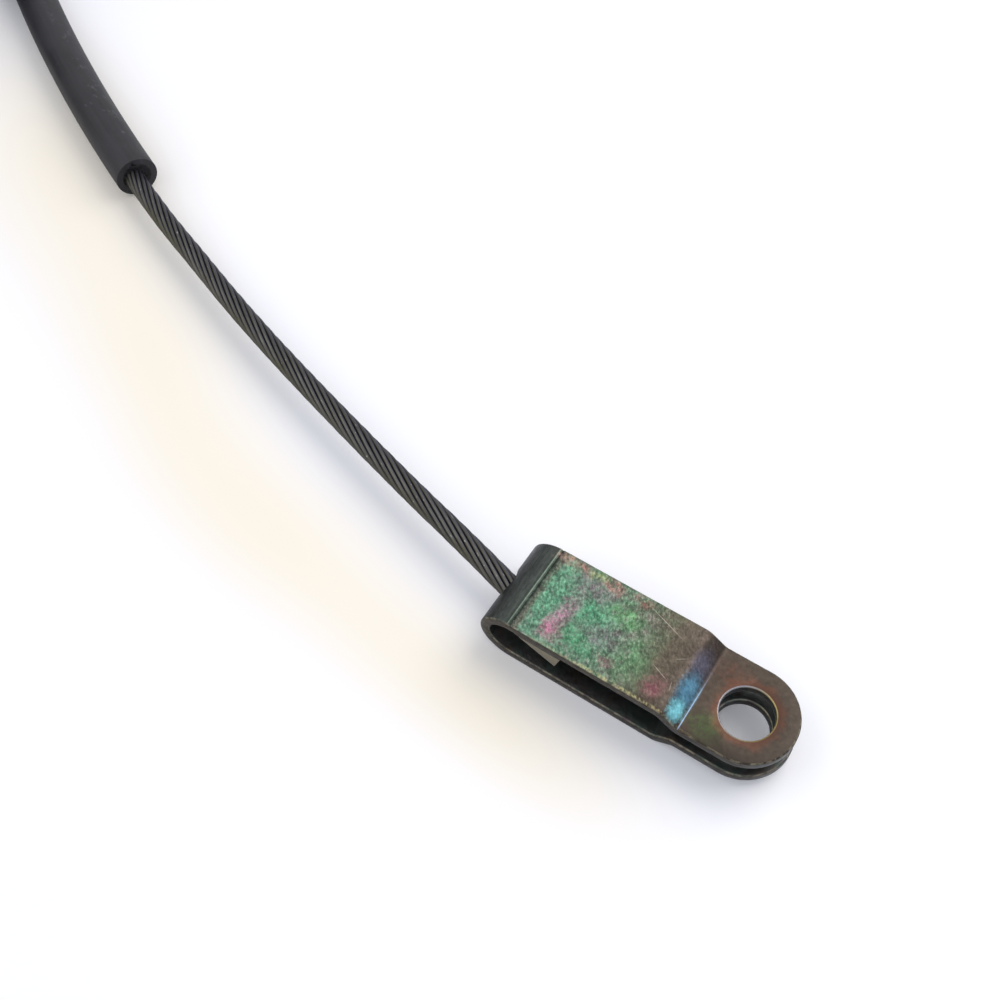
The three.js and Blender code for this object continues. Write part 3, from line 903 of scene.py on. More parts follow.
def folded_line(corners: list[Vector], radii: list[float]) -> list[Stretch]:
    """Rounds the corners of a line.

    Args:
        corners: The corners in the XZ plane.
        radii: The radius of each corner, 0 at both ends.

    Returns:
        The straight and bent stretches in order.
    """
    stretches = []
    place = corners[0]
    for index in range(1, len(corners)):
        ahead = (corners[index] - corners[index - 1]).normalized()
        heading = math.atan2(ahead.y, ahead.x)
        turn = cut = 0.0
        if index < len(corners) - 1:
            after = (corners[index + 1] - corners[index]).normalized()
            turn = math.atan2(ahead.x * after.y - ahead.y * after.x, ahead.dot(after))
            cut = radii[index] * math.tan(abs(turn) / 2)
        straight = (corners[index] - place).dot(ahead) - cut
        if straight > 1e-9:
            stretches.append(Stretch(place, heading, straight, 0.0))
        place = corners[index] - ahead * cut
        if turn:
            arc = Stretch(place, heading, radii[index] * abs(turn), math.copysign(1 / radii[index], turn))
            stretches.append(arc)
            place = arc.at(arc.length)[0]
    return stretches


@dataclass
class Clevis:
    """The folded steel strip with its pin holes, cable hole, lugs and pressed line. Millimetres."""

    width: float = 15.4
    thickness: float = 1.7
    height: float = 10.4
    ear_gap: float = 3.0
    bend_x: float = -24.35
    pin_x: float = 16.65
    pin_radius: float = 4.1
    cable_radius: float = 2.65
    jog_start_to_pin: float = 10.6
    jog_end_to_pin: float = 7.6
    jog_radius: float = 2.05
    mark_depth: float = 0.16
    mark_width: float = 0.7
    lug_start_to_bend: float = 6.0
    lug_end_to_bend: float = 14.2
    lug_depth: float = 3.3
    lug_undercut: float = 0.9
    lug_thickness: float = 1.4
    rim_radius: float = 0.28
    outline_steps: int = 96
    hole_steps: int = 64
    bend_cuts: int = 28
    jog_cuts: int = 6

    @property
    def ear_radius(self) -> float:
        """Half the strip's width, which rounds the ears."""
        return self.width / 2

    @property
    def mark_x(self) -> float:
        """Where the fold starts on the upper leg, with the pressed line."""
        return self.bend_x + self.height / 2

    @property
    def jog_end_x(self) -> float:
        """Where the upper leg has come down to the ear."""
        return self.pin_x - self.jog_end_to_pin

    def middle_line(self) -> list[Stretch]:
        """The strip's middle line from the upper ear, round the bend, to the lower ear."""
        leg = self.height - self.thickness / 2
        ear = (self.height + self.ear_gap + self.thickness) / 2
        upper = [(self.pin_x + self.ear_radius, ear), (self.jog_end_x, ear),
                 (self.pin_x - self.jog_start_to_pin, leg), (self.bend_x + self.thickness / 2, leg)]
        lower = [(x, self.height - z) for x, z in reversed(upper)]
        bend = (self.height - self.thickness) / 2
        radii = [0, self.jog_radius, self.jog_radius, bend, bend, self.jog_radius, self.jog_radius, 0]
        return folded_line([Vector(point) for point in upper + lower], radii)

    def blank(self, length: float) -> bmesh.types.BMesh:
        """The flat strip before it is folded: X along it, Y across, Z from 0 to its thickness.

        Args:
            length: The blank's whole length.

        Returns:
            The flat strip with its three holes and rounded rims.
        """
        bm = bmesh.new()
        far_pin = length - self.ear_radius
        half_step = Matrix.Rotation(math.pi / self.outline_steps, 4, "Z")
        first_pin = Matrix.Translation((self.ear_radius, 0, 0))
        outline = bmesh.ops.create_circle(bm, cap_ends=False, segments=self.outline_steps,
                                          radius=self.ear_radius, matrix=first_pin @ half_step)["verts"]
        moved = [vert for vert in outline if vert.co.x > self.ear_radius]
        bmesh.ops.translate(bm, vec=(far_pin - self.ear_radius, 0, 0), verts=moved)
        for place, radius in ((self.ear_radius, self.pin_radius), (length / 2, self.cable_radius),
                              (far_pin, self.pin_radius)):
            bmesh.ops.create_circle(bm, cap_ends=False, segments=self.hole_steps, radius=radius,
                                    matrix=Matrix.Translation((place, 0, 0)))
        bmesh.ops.triangle_fill(bm, use_beauty=True, use_dissolve=False, edges=bm.edges[:], normal=(0, 0, 1))
        lifted = bmesh.ops.extrude_face_region(bm, geom=bm.faces[:])["geom"]
        bmesh.ops.translate(bm, vec=(0, 0, self.thickness), verts=moved_verts(lifted))
        bmesh.ops.recalc_face_normals(bm, faces=bm.faces[:])
        bevel_rims(bm, folded_edges(bm), self.rim_radius)
        return bm

    def fold(self, bm: bmesh.types.BMesh, line: list[Stretch]) -> None:
        """Cuts the flat strip across at each fold and carries it onto the folded line.

        Args:
            bm: The flat strip, changed in place.
            line: The middle line's stretches.
        """
        starts = []
        reached = 0.0
        for stretch in line:
            starts.append(reached)
            cuts = self.bend_cuts if stretch.length > 2 * self.jog_radius else self.jog_cuts
            for index in range(cuts + 1 if stretch.bend else 1):
                self.cut_across(bm, reached + stretch.length * index / cuts)
            reached += stretch.length
        # The pressed line lies where the fold starts, at the first of its bent stretches.
        fold = max(range(len(line)), key=lambda index: line[index].length if line[index].bend else 0.0)
        while fold > 0 and line[fold - 1].bend:
            fold -= 1
        mark = starts[fold]
        for offset in (-0.5, 0.0, 0.5):
            self.cut_across(bm, mark + offset * self.mark_width)
        for vert in bm.verts:
            along, across, deep = vert.co
            index = max(i for i, start in enumerate(starts) if along >= start - 1e-6 or i == 0)
            place, heading = line[index].at(along - starts[index])
            pressed = max(0.0, 1 - abs(along - mark) / (self.mark_width / 2)) * self.mark_depth
            outward = deep - self.thickness / 2 - (pressed if deep > self.thickness * 0.6 else 0.0)
            vert.co = (place.x + math.sin(heading) * outward, across, place.y - math.cos(heading) * outward)
        bmesh.ops.recalc_face_normals(bm, faces=bm.faces[:])

    def cut_across(self, bm: bmesh.types.BMesh, along: float) -> None:
        """Cuts the flat strip across without parting it.

        Args:
            bm: The flat strip.
            along: Where the cut lies.
        """
        geometry = bm.verts[:] + bm.edges[:] + bm.faces[:]
        bmesh.ops.bisect_plane(bm, geom=geometry, dist=1e-4, plane_co=(along, 0, 0), plane_no=(1, 0, 0))

    def lug(self, side: int) -> bmesh.types.BMesh:
        """One three-cornered lug that hangs from an edge of the upper leg.

        Args:
            side: 1 for the edge at +Y, -1 for the edge at -Y.

        Returns:
            The lug, reaching half way into the leg.
        """
        bm = bmesh.new()
        underside = self.height - self.thickness
        start = self.bend_x + self.lug_start_to_bend
        end = self.bend_x + self.lug_end_to_bend
        root = underside + self.thickness * 0.5
        outline = [(start, root), (start, underside), (end - self.lug_undercut, underside - self.lug_depth),
                   (end, underside), (end, root)]
        inner = side * (self.width / 2 - 0.02)
        verts = [bm.verts.new((x, inner, z)) for x, z in outline]
        bm.faces.new(verts)
        lifted = bmesh.ops.extrude_face_region(bm, geom=bm.faces[:])["geom"]
        bmesh.ops.translate(bm, vec=(0, -side * self.lug_thickness, 0), verts=moved_verts(lifted))
        bmesh.ops.recalc_face_normals(bm, faces=bm.faces[:])
        bevel_rims(bm, folded_edges(bm, math.radians(20)), 0.2, 2)
        return bm

    def build(self, material: bpy.types.Material) -> bpy.types.Object:
        """Builds the clevis.

        Args:
            material: The plating.

        Returns:
            The finished piece.
        """
        line = self.middle_line()
        strip = self.blank(sum(stretch.length for stretch in line))
        self.fold(strip, line)
        bmesh.ops.scale(strip, vec=(MM, MM, MM), verts=strip.verts[:])
        piece = finished(strip, "clevis_plated", material)
        for side in (-1, 1):
            lug = self.lug(side)
            bmesh.ops.scale(lug, vec=(MM, MM, MM), verts=lug.verts[:])
            joined(piece, finished(lug, "lug_helper", material))
        return piece


def smooth_route(points: list[Vector], step: float) -> list[Vector]:
    """Samples a smooth curve through chosen points at even steps.

    Args:
        points: The points in order.
        step: The distance between samples, in metres.

    Returns:
        The samples, both ends among them.
    """
    per_span = 24
    ends = [2 * points[0] - points[1], *points, 2 * points[-1] - points[-2]]
    dense = [points[0]]
    for before, here, there, after in zip(ends, ends[1:], ends[2:], ends[3:]):
        for index in range(1, per_span + 1):
            t = index / per_span
            slope = there - before
            curve = 2 * before - 5 * here + 4 * there - after
            twist = 3 * here - before - 3 * there + after
            dense.append(0.5 * (2 * here + slope * t + curve * t ** 2 + twist * t ** 3))
    return even_steps(dense, step)


def route_length(points: list[Vector]) -> float:
    """The length of a row of points."""
    return sum((b - a).length for a, b in zip(points, points[1:]))


def even_steps(points: list[Vector], step: float) -> list[Vector]:
    """Places points at even distances along a dense row of points.

    Args:
        points: The dense row.
        step: The distance that is wanted between points, which is fitted to the whole length.

    Returns:
        The points, both ends among them.
    """
    total = route_length(points)
    count = max(2, round(total / step))
    result = [points[0]]
    reached = 0.0
    wanted = total / count
    for a, b in zip(points, points[1:]):
        piece = (b - a).length
        while wanted <= reached + piece and len(result) < count:
            result.append(a.lerp(b, (wanted - reached) / piece))
            wanted = total / count * (len(result))
        reached += piece
    return [*result[:count], points[-1]]


def sweep(bm: bmesh.types.BMesh, ring: list[bmesh.types.BMEdge], route: list[Vector],
          turns_per_metre: float = 0.0) -> list[bmesh.types.BMEdge]:
    """Carries a ring of edges, drawn in the XY plane, along a route, turning it on the way.

    Args:
        bm: The bmesh that holds the ring.
        ring: The ring's edges.
        route: The ring's centres in order.
        turns_per_metre: Right-hand turns of the ring for each metre.

    Returns:
        The edges of the last ring.
    """
    along = bm.verts.layers.float["along"]
    reached = 0.0
    verts = list({vert for edge in ring for vert in edge.verts})
    last = Matrix.Identity(4)
    for index, centre in enumerate(route):
        before = route[max(index - 1, 0)]
        after = route[min(index + 1, len(route) - 1)]
        ahead = (after - before).normalized()
        side = Vector((0, 0, 1)).cross(ahead).normalized()
        up = ahead.cross(side)
        reached += (centre - before).length
        turned = Matrix((side, up, ahead)).transposed().to_4x4()
        twisted = Matrix.Rotation(FULL_TURN * turns_per_metre * reached, 4, "Z")
        here = Matrix.Translation(centre) @ turned @ twisted
        if index:
            grown = bmesh.ops.extrude_edge_only(bm, edges=ring)["geom"]
            verts = moved_verts(grown)
            ring = [g for g in grown if isinstance(g, bmesh.types.BMEdge) and g.is_boundary]
        bmesh.ops.transform(bm, matrix=here @ last.inverted(), verts=verts)
        for vert in verts:
            vert[along] = reached
        last = here
    return ring


def ring_edges(bm: bmesh.types.BMesh, radii: list[float]) -> list[bmesh.types.BMEdge]:
    """Draws a ring about the origin whose points lie at given distances from it.

    Args:
        bm: The bmesh, which gets the layers that hold each point's direction and distance along.
        radii: The distance of each point.

    Returns:
        The ring's edges.
    """
    for key in LAY_LAYERS:
        if bm.verts.layers.float.get(key) is None:
            bm.verts.layers.float.new(key)
    facing, aside, _ = (bm.verts.layers.float[key] for key in LAY_LAYERS)
    verts = bmesh.ops.create_circle(bm, cap_ends=False, segments=len(radii), radius=1.0)["verts"]
    verts.sort(key=lambda vert: math.atan2(vert.co.y, vert.co.x) % FULL_TURN)
    for vert, radius in zip(verts, radii):
        vert[facing], vert[aside] = vert.co.x, vert.co.y
        vert.co *= radius
    return list({edge for vert in verts for edge in vert.link_edges})


def write_lay_map(bm: bmesh.types.BMesh) -> None:
    """Writes the UV map that follows a cord: U the share of the way round, V the millimetres along.

    Args:
        bm: The cord's bmesh, whose layers are used up.
    """
    uv = bm.loops.layers.uv.new(LAY_MAP)
    facing, aside, along = (bm.verts.layers.float[key] for key in LAY_LAYERS)
    for face in bm.faces:
        shares = [math.atan2(loop.vert[aside], loop.vert[facing]) / FULL_TURN % 1.0
                  for loop in face.loops]
        wraps = max(shares) - min(shares) > 0.5
        for loop, share in zip(face.loops, shares):
            loop[uv].uv = (share + 1 if wraps and share < 0.5 else share, loop.vert[along] / MM)
    for key in LAY_LAYERS:
        bm.verts.layers.float.remove(bm.verts.layers.float[key])


@dataclass
class WireRope:
    """A single strand whose outer wires are laid round it to the right. Millimetres."""

    diameter: float = 3.8
    strands: int = 12
    lay_length: float = 38.0
    points_per_wire: int = 7
    step: float = 0.8
    unevenness: float = 0.02

    def section(self) -> list[float]:
        """The distances of the section's points from its centre, in metres."""
        wire = self.diameter / 2 / (1 + 1 / math.sin(math.pi / self.strands))
        middle = self.diameter / 2 - wire
        uneven = random.Random(7)
        radii = []
        for _ in range(self.strands):
            proud = uneven.uniform(-self.unevenness, self.unevenness)
            for index in range(self.points_per_wire):
                off = (index / self.points_per_wire - 0.5) * FULL_TURN / self.strands
                reach = max(0.0, wire ** 2 - (middle * math.sin(off)) ** 2)
                radii.append((middle * math.cos(off) + math.sqrt(reach) + proud) * MM)
        return radii

    def build(self, name: str, route: list[Vector],
              material: bpy.types.Material) -> tuple[bpy.types.Object, list[Vector]]:
        """Builds a stretch of rope.

        Args:
            name: The piece's name.
            route: Points that the rope follows, in metres.
            material: The rope's finish.

        Returns:
            The piece and the centres of its rings.
        """
        centres = smooth_route(route, self.step * MM)
        bm = bmesh.new()
        first = ring_edges(bm, self.section())
        start = list(first)
        last = sweep(bm, first, centres, 1 / (self.lay_length * MM))
        bmesh.ops.edgeloop_fill(bm, edges=start)
        bmesh.ops.edgeloop_fill(bm, edges=last)
        bmesh.ops.recalc_face_normals(bm, faces=bm.faces[:])
        write_lay_map(bm)
        return finished(bm, name, material), centres


@dataclass
class Tube:
    """The plastic tube, cut square at both ends. Millimetres."""

    diameter: float = 8.2
    bore: float = 5.8
    sides: int = 32
    step: float = 2.2
    lip: float = 0.32

    def build(self, name: str, route: list[Vector],
              material: bpy.types.Material) -> tuple[bpy.types.Object, list[Vector]]:
        """Builds the tube with its bore all the way through.

        Args:
            name: The piece's name.
            route: Points that the tube follows, in metres, dense enough to keep its bends.
            material: The tube's finish.

        Returns:
            The piece and the centres of its rings.
        """
        centres = even_steps(route, self.step * MM)
        bm = bmesh.new()
        starts = []
        ends = []
        for diameter in (self.diameter, self.bore):
            ring = ring_edges(bm, [diameter / 2 * MM] * self.sides)
            starts.append(ring)
            ends.append(sweep(bm, ring, centres))
        for loops in (starts, ends):
            bmesh.ops.bridge_loops(bm, edges=[edge for loop in loops for edge in loop])
        bmesh.ops.recalc_face_normals(bm, faces=bm.faces[:])
        lips = [edge for loop in (*starts, *ends) for edge in loop]
        bevel_rims(bm, lips, self.lip * MM)
        write_lay_map(bm)
        return finished(bm, name, material), centres


@dataclass
class CableRoute:
    """Where the rope and the tube lie. Millimetres, with the clevis's anchor as the start."""

    anchor: Vector = field(default_factory=lambda: Vector((-23.5, 0.0, 5.2)))
    swivel_yaw: float = math.radians(-15.5)
    straight_lead: float = 9.0
    exposed: tuple[tuple[float, float], ...] = (
        (-97.65, 30.8), (-85.95, 26.4), (-74.75, 22.2), (-63.75, 18.4), (-52.75, 14.9),
        (-42.15, 11.7), (-31.85, 8.7), (-21.85, 5.9), (-15.4, 4.2),
    )
    arc_centre: tuple[float, float] = (74.73, 451.64)
    arc_radius: float = 454.2
    rope_offset: float = 0.6
    mouth_angle: float = math.radians(-114)
    near_length: float = 80.0
    rope_in_tube: float = 50.0
    tube_radius: float = 4.1
    solid_gap: float = 0.3
    outer_turn_radius: float = 46.1
    coil_base: float = 1.1
    move_window: float = math.radians(80)
    move_stagger: float = 0.3
    far_z: float = 21.9
    far_tube_start: float = math.radians(-14)
    far_tube_length: float = 155.7
    far_exposed: float = 40.5
    far_in_tube: float = 12.0
    nipple_length: float = 12.0
    rope_proud: float = 0.5
    stop_distance: float = 4.514
    stop_length: float = 3.6
    coil_centre: Vector = field(init=False)
    coil_start: float = field(init=False)
    lead_in: float = field(init=False)

    def __post_init__(self) -> None:
        """Places the coil beside the near tube's inner end, so that the tube runs straight into it."""
        angle = self.near_end_angle
        end = self.on_arc(self.arc_radius, angle, 0.0)
        inward = Vector((-math.cos(angle), -math.sin(angle), 0))
        ahead = Vector((-inward.y, inward.x, 0))
        reach = self.outer_turn_radius + self.tube_radius + self.solid_gap
        self.lead_in = math.sqrt(reach ** 2 - (self.outer_turn_radius - self.tube_radius) ** 2)
        self.coil_centre = end + ahead * self.lead_in - inward * self.outer_turn_radius
        self.coil_start = math.atan2(inward.y, inward.x)

    @property
    def near_end_angle(self) -> float:
        """Where the near tube's arc ends, about the arc's centre."""
        return self.mouth_angle - self.near_length / self.arc_radius

    @property
    def far_mouth(self) -> float:
        """Where the tube ends on top of the coil, about the coil's axis."""
        return self.far_tube_start + self.far_tube_length / self.outer_turn_radius

    def direction(self) -> Vector:
        """The way the rope points where it goes through the clevis."""
        return Vector((math.cos(self.swivel_yaw), math.sin(self.swivel_yaw), 0))

    def on_arc(self, radius: float, angle: float, z: float) -> Vector:
        """A place on the near tube's wide arc."""
        return Vector((self.anchor.x + self.arc_centre[0] + radius * math.cos(angle),
                       self.anchor.y + self.arc_centre[1] + radius * math.sin(angle), z))

    def on_coil(self, radius: float, angle: float, z: float) -> Vector:
        """A place about the coil's axis."""
        return self.coil_centre + Vector((radius * math.cos(angle), radius * math.sin(angle), z))

    def near_rope(self) -> list[Vector]:
        """The near rope from its end in the clevis to its end in the tube, in metres."""
        beyond = self.stop_distance + self.stop_length + self.rope_proud
        straight = [self.anchor + self.direction() * along
                    for along in (beyond, beyond / 2, 0.0, -self.straight_lead / 2, -self.straight_lead)]
        count = len(self.exposed)
        drop = self.anchor.z - self.tube_radius
        laid = [Vector((self.anchor.x + x, self.anchor.y + y, self.tube_radius + drop * (i + 1) / count))
                for i, (x, y) in enumerate(self.exposed)]
        radius = self.arc_radius + self.rope_offset
        inside = [self.on_arc(radius, self.mouth_angle - self.rope_in_tube * i / 6 / radius, self.tube_radius)
                  for i in range(7)]
        return [point * MM for point in (*straight, *reversed(laid), *inside)]

    def tube(self) -> list[Vector]:
        """The tube from its near mouth, through the coil, to its far mouth, in metres."""
        count = round(self.near_length)
        swept = self.near_length / self.arc_radius
        points = [self.on_arc(self.arc_radius, self.mouth_angle - swept * i / count, self.tube_radius)
                  for i in range(count)]
        corner = self.on_arc(self.arc_radius, self.near_end_angle, self.tube_radius)
        joint = self.on_coil(self.outer_turn_radius, self.coil_start, self.coil_base + self.tube_radius)
        count = round(self.lead_in)
        for i in range(count):
            place = corner.lerp(joint, i / count)
            place.z = corner.z + (joint.z - corner.z) * self.eased(i / count)
            points.append(place)
        points.extend(self.turns())
        return [point * MM for point in points]

    @property
    def inner_turn_radius(self) -> float:
        """The radius of the inner turns' middle line."""
        return self.outer_turn_radius - 2 * self.tube_radius

    @staticmethod
    def eased(share: float) -> float:
        """A share of a change that starts and ends gently, held from 0 to 1."""
        return (1 - math.cos(math.pi * min(1.0, max(0.0, share)))) / 2

    def turns(self) -> list[Vector]:
        """The turns of the coil, a tube's width apart, and the free end on top of them.

        Each turn moves to its next seat in a window of angles. The later the turn, the earlier
        its window, so that a seat is free before the next turn comes into it.

        Returns:
            The points, four for each ten degrees, in millimetres.
        """
        outer, inner = self.outer_turn_radius, self.inner_turn_radius
        low = self.coil_base + self.tube_radius
        high = low + 2 * self.tube_radius
        seats = [(outer, low), (inner, low), (inner, high), (outer, high), (outer, self.far_z)]
        moves = []
        for turn, (seat, following) in enumerate(zip(seats, seats[1:])):
            end = self.coil_start + FULL_TURN * (turn + 1) - turn * self.move_stagger * self.move_window
            moves.append((end - self.move_window, following[0] - seat[0], following[1] - seat[1]))
        last = self.far_mouth + FULL_TURN * len(moves)
        count = round(math.degrees(last - self.coil_start) / 2.5)
        points = []
        for i in range(count + 1):
            angle = self.coil_start + (last - self.coil_start) * i / count
            radius, z = seats[0]
            for start, outward, upward in moves:
                share = self.eased((angle - start) / self.move_window)
                radius += outward * share
                z += upward * share
            points.append(self.on_coil(radius, angle, z))
        return points

    def nipple_angle(self) -> float:
        """The angle about the coil at which the nipple's inner face lies."""
        return self.far_mouth + self.far_exposed / self.outer_turn_radius

    def far_rope(self) -> list[Vector]:
        """The far rope from inside the tube to its end in the nipple, in metres."""
        radius = self.outer_turn_radius
        start = self.far_mouth - self.far_in_tube / radius
        end = self.nipple_angle()
        bent = [self.on_coil(radius, start + (end - start) * i / 16, self.far_z) for i in range(17)]
        face, ahead = self.nipple_place()
        straight = [face + ahead * share * (self.nipple_length + self.rope_proud) for share in (0.3, 0.6, 1.0)]
        return [point * MM for point in (*bent, *straight)]

    def nipple_place(self) -> tuple[Vector, Vector]:
        """The middle of the nipple's inner face and the way it points, in millimetres."""
        angle = self.nipple_angle()
        return (self.on_coil(self.outer_turn_radius, angle, self.far_z),
                Vector((-math.sin(angle), math.cos(angle), 0)))


@dataclass
class Sleeve:
    """A turned or cast sleeve on the rope's end. Millimetres, with the profile as (along, radius)."""

    name: str
    node: str
    body: Body
    profile: Profile
    bore: float = 1.98
    steps: int = 48
    rounding: float = 0.22

    def build(self, start: Vector, ahead: Vector, material: bpy.types.Material) -> bpy.types.Object:
        """Spins the profile about the rope and rounds its corners.

        Args:
            start: Where the profile's zero lies, in millimetres.
            ahead: The way the sleeve points.
            material: Its finish.

        Returns:
            The finished piece.
        """
        bm = bmesh.new()
        points = [(self.profile[0][0], self.bore), *self.profile, (self.profile[-1][0], self.bore)]
        verts = [bm.verts.new((radius, 0, along)) for along, radius in points]
        edges = [bm.edges.new((a, b)) for a, b in zip(verts, [*verts[1:], verts[0]])]
        bmesh.ops.spin(bm, geom=verts + edges, cent=(0, 0, 0), axis=(0, 0, 1), angle=FULL_TURN,
                       steps=self.steps, use_merge=True, use_duplicate=False)
        bmesh.ops.remove_doubles(bm, verts=bm.verts[:], dist=1e-4)
        bmesh.ops.recalc_face_normals(bm, faces=bm.faces[:])
        bevel_rims(bm, folded_edges(bm, math.radians(28)), self.rounding, 2)
        turn = ahead.to_track_quat("Z", "Y").to_matrix().to_4x4()
        bmesh.ops.transform(bm, matrix=Matrix.Translation(start) @ turn, verts=bm.verts[:])
        bmesh.ops.scale(bm, vec=(MM, MM, MM), verts=bm.verts[:])
        piece = finished(bm, self.name, material)
        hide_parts(self.node)
        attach(piece, self.body.value)
        return piece


def stop_profile(length: float, radius: float = 3.2, groove_radius: float = 3.02) -> Profile:
    """The end stop's outline.

    Args:
        length: Its length from the widest place of its rounded nose.
        radius: Its radius.
        groove_radius: The radius in the pressed groove.

    Returns:
        The outline of its nose, its groove and its plain end.
    """
    nose_angles = [math.radians(-50 + 50 * k / 8) for k in range(9)]
    nose = [(radius * math.sin(angle), radius * math.cos(angle)) for angle in nose_angles]
    groove = [(0.9, radius), (1.15, groove_radius), (1.6, groove_radius), (1.85, radius)]
    return (*nose, *groove, (length, radius))


def nipple_profile(length: float, radius: float = 4.0, chamfer: float = 0.4,
                   groove_depth: float = 0.2) -> Profile:
    """The nipple's outline.

    Args:
        length: Its length.
        radius: Its radius.
        chamfer: How far its ends are cut back.
        groove_depth: The depth of its two pressed grooves.

    Returns:
        The outline between its two cut ends.
    """
    groove = ((0, 0), (0.3, groove_depth), (0.8, groove_depth), (1.1, 0))
    grooves = [(start + along, radius - deep) for start in (3.6, 7.3) for along, deep in groove]
    return ((0, radius - chamfer), (chamfer, radius), *grooves, (length - chamfer, radius),
            (length, radius - chamfer))


@dataclass
class CableTie:
    """One tie round the coil with its head and its strap's end. Millimetres."""

    node: str
    angle: float
    over_far_tube: bool
    width: float = 4.0
    thickness: float = 1.0
    slack: float = 0.1
    head_length: float = 5.0
    head_depth: float = 3.1
    head_overlap: float = 0.25
    head_wider: float = 1.0
    head_wall: float = 0.6
    head_recess: float = 0.7
    tail: float = 2.6
    circle_steps: int = 32

    def build(self, route: CableRoute, material: bpy.types.Material) -> bpy.types.Object:
        """Builds the tie in its own plane and turns it to its place.

        Args:
            route: The coil that the tie holds.
            material: Its finish.

        Returns:
            The finished piece.
        """
        outer, inner = route.outer_turn_radius, route.inner_turn_radius
        low = route.coil_base + route.tube_radius
        high = low + 2 * route.tube_radius
        seats = [(outer, low), (inner, low), (inner, high), (outer, high)]
        if self.over_far_tube:
            seats.append((outer, route.far_z))
        bm = bmesh.new()
        reach = route.tube_radius + self.slack + self.thickness
        for side in (-0.5, 0.5):
            upright = Matrix.Rotation(math.pi / 2, 4, "X")
            for radius, z in seats:
                bmesh.ops.create_circle(bm, cap_ends=False, segments=self.circle_steps, radius=reach,
                                        matrix=Matrix.Translation((radius, side * self.width, z)) @ upright)
        hull = bmesh.ops.convex_hull(bm, input=bm.verts[:], use_existing_faces=False)
        spare = moved_verts(hull["geom_interior"] + hull["geom_unused"])
        bmesh.ops.delete(bm, geom=list(set(spare)), context="VERTS")
        caps = [face for face in bm.faces if abs(face.normal.y) > 0.9]
        bmesh.ops.delete(bm, geom=caps, context="FACES_ONLY")
        loose = [edge for edge in bm.edges if not edge.link_faces]
        bmesh.ops.delete(bm, geom=loose, context="EDGES")
        bmesh.ops.dissolve_limit(bm, angle_limit=math.radians(1), verts=bm.verts[:], edges=bm.edges[:])
        bmesh.ops.recalc_face_normals(bm, faces=bm.faces[:])
        bmesh.ops.solidify(bm, geom=bm.faces[:], thickness=self.thickness)
        bevel_rims(bm, folded_edges(bm), 0.18, 2)
        middle = (low + high) / 2
        face_x = inner - route.tube_radius - self.slack - self.thickness
        self.add_head(bm, face_x, middle)
        bmesh.ops.rotate(bm, cent=(0, 0, 0), matrix=Matrix.Rotation(self.angle, 3, "Z"), verts=bm.verts[:])
        bmesh.ops.translate(bm, vec=route.coil_centre, verts=bm.verts[:])
        bmesh.ops.scale(bm, vec=(MM, MM, MM), verts=bm.verts[:])
        piece = finished(bm, self.node + "_strap", material)
        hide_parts(self.node)
        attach(piece, Body.SHEATH.value)
        return piece

    def add_head(self, bm: bmesh.types.BMesh, face_x: float, middle: float) -> None:
        """Adds the head on the strap's inner side, with the cut end of the strap above it.

        Args:
            bm: The tie's bmesh.
            face_x: Where the strap's outer face lies on the inner side.
            middle: The height of the head's middle.
        """
        head_x = face_x - self.head_depth / 2 + self.head_overlap
        head = bmesh.new()
        bmesh.ops.create_cube(head, size=1.0)
        size = (self.head_depth, self.width + self.head_wider, self.head_length)
        bmesh.ops.scale(head, vec=size, verts=head.verts[:])
        ends = [face for face in head.faces if abs(face.normal.z) > 0.9]
        bmesh.ops.inset_region(head, faces=ends, thickness=self.head_wall, depth=0.0)
        for face in ends:
            deeper = -math.copysign(self.head_recess, face.normal.z)
            sunk = bmesh.ops.extrude_face_region(head, geom=[face])["geom"]
            bmesh.ops.translate(head, vec=(0, 0, deeper), verts=moved_verts(sunk))
        bmesh.ops.delete(head, geom=ends, context="FACES_ONLY")
        bmesh.ops.recalc_face_normals(head, faces=head.faces[:])
        outer_edges = [edge for edge in folded_edges(head)
                       if all(abs(abs(vert.co.x) - size[0] / 2) < 1e-3 or
                              abs(abs(vert.co.y) - size[1] / 2) < 1e-3 for vert in edge.verts)]
        bevel_rims(head, outer_edges, 0.45, 3)
        bmesh.ops.translate(head, vec=(head_x, 0, middle), verts=head.verts[:])
        stub = bmesh.new()
        bmesh.ops.create_cube(stub, size=1.0)
        stub_size = (self.thickness, self.width - 0.4, self.tail + 2 * self.head_recess)
        bmesh.ops.scale(stub, vec=stub_size, verts=stub.verts[:])
        bevel_rims(stub, folded_edges(stub), 0.15, 2)
        rise = middle + self.head_length / 2 + self.tail / 2 - self.head_recess
        bmesh.ops.translate(stub, vec=(head_x, 0, rise), verts=stub.verts[:])
        for extra in (head, stub):
            mesh = bpy.data.meshes.new("tie_part")
            extra.to_mesh(mesh)
            extra.free()
            bm.from_mesh(mesh)
            bpy.data.meshes.remove(mesh)


@dataclass(frozen=True)
class Lamp:
    """A round soft lamp. Metres and watts."""

    name: str
    place: tuple[float, float, float]
    size: float
    power: float
    tone: tuple[float, float, float]


@dataclass(frozen=True)
class WarmShadow:
    """A warm field painted on the table: the cable's soft shadow, tinted warm. Metres."""

    centre: tuple[float, float]
    half: tuple[float, float]
    turn: float


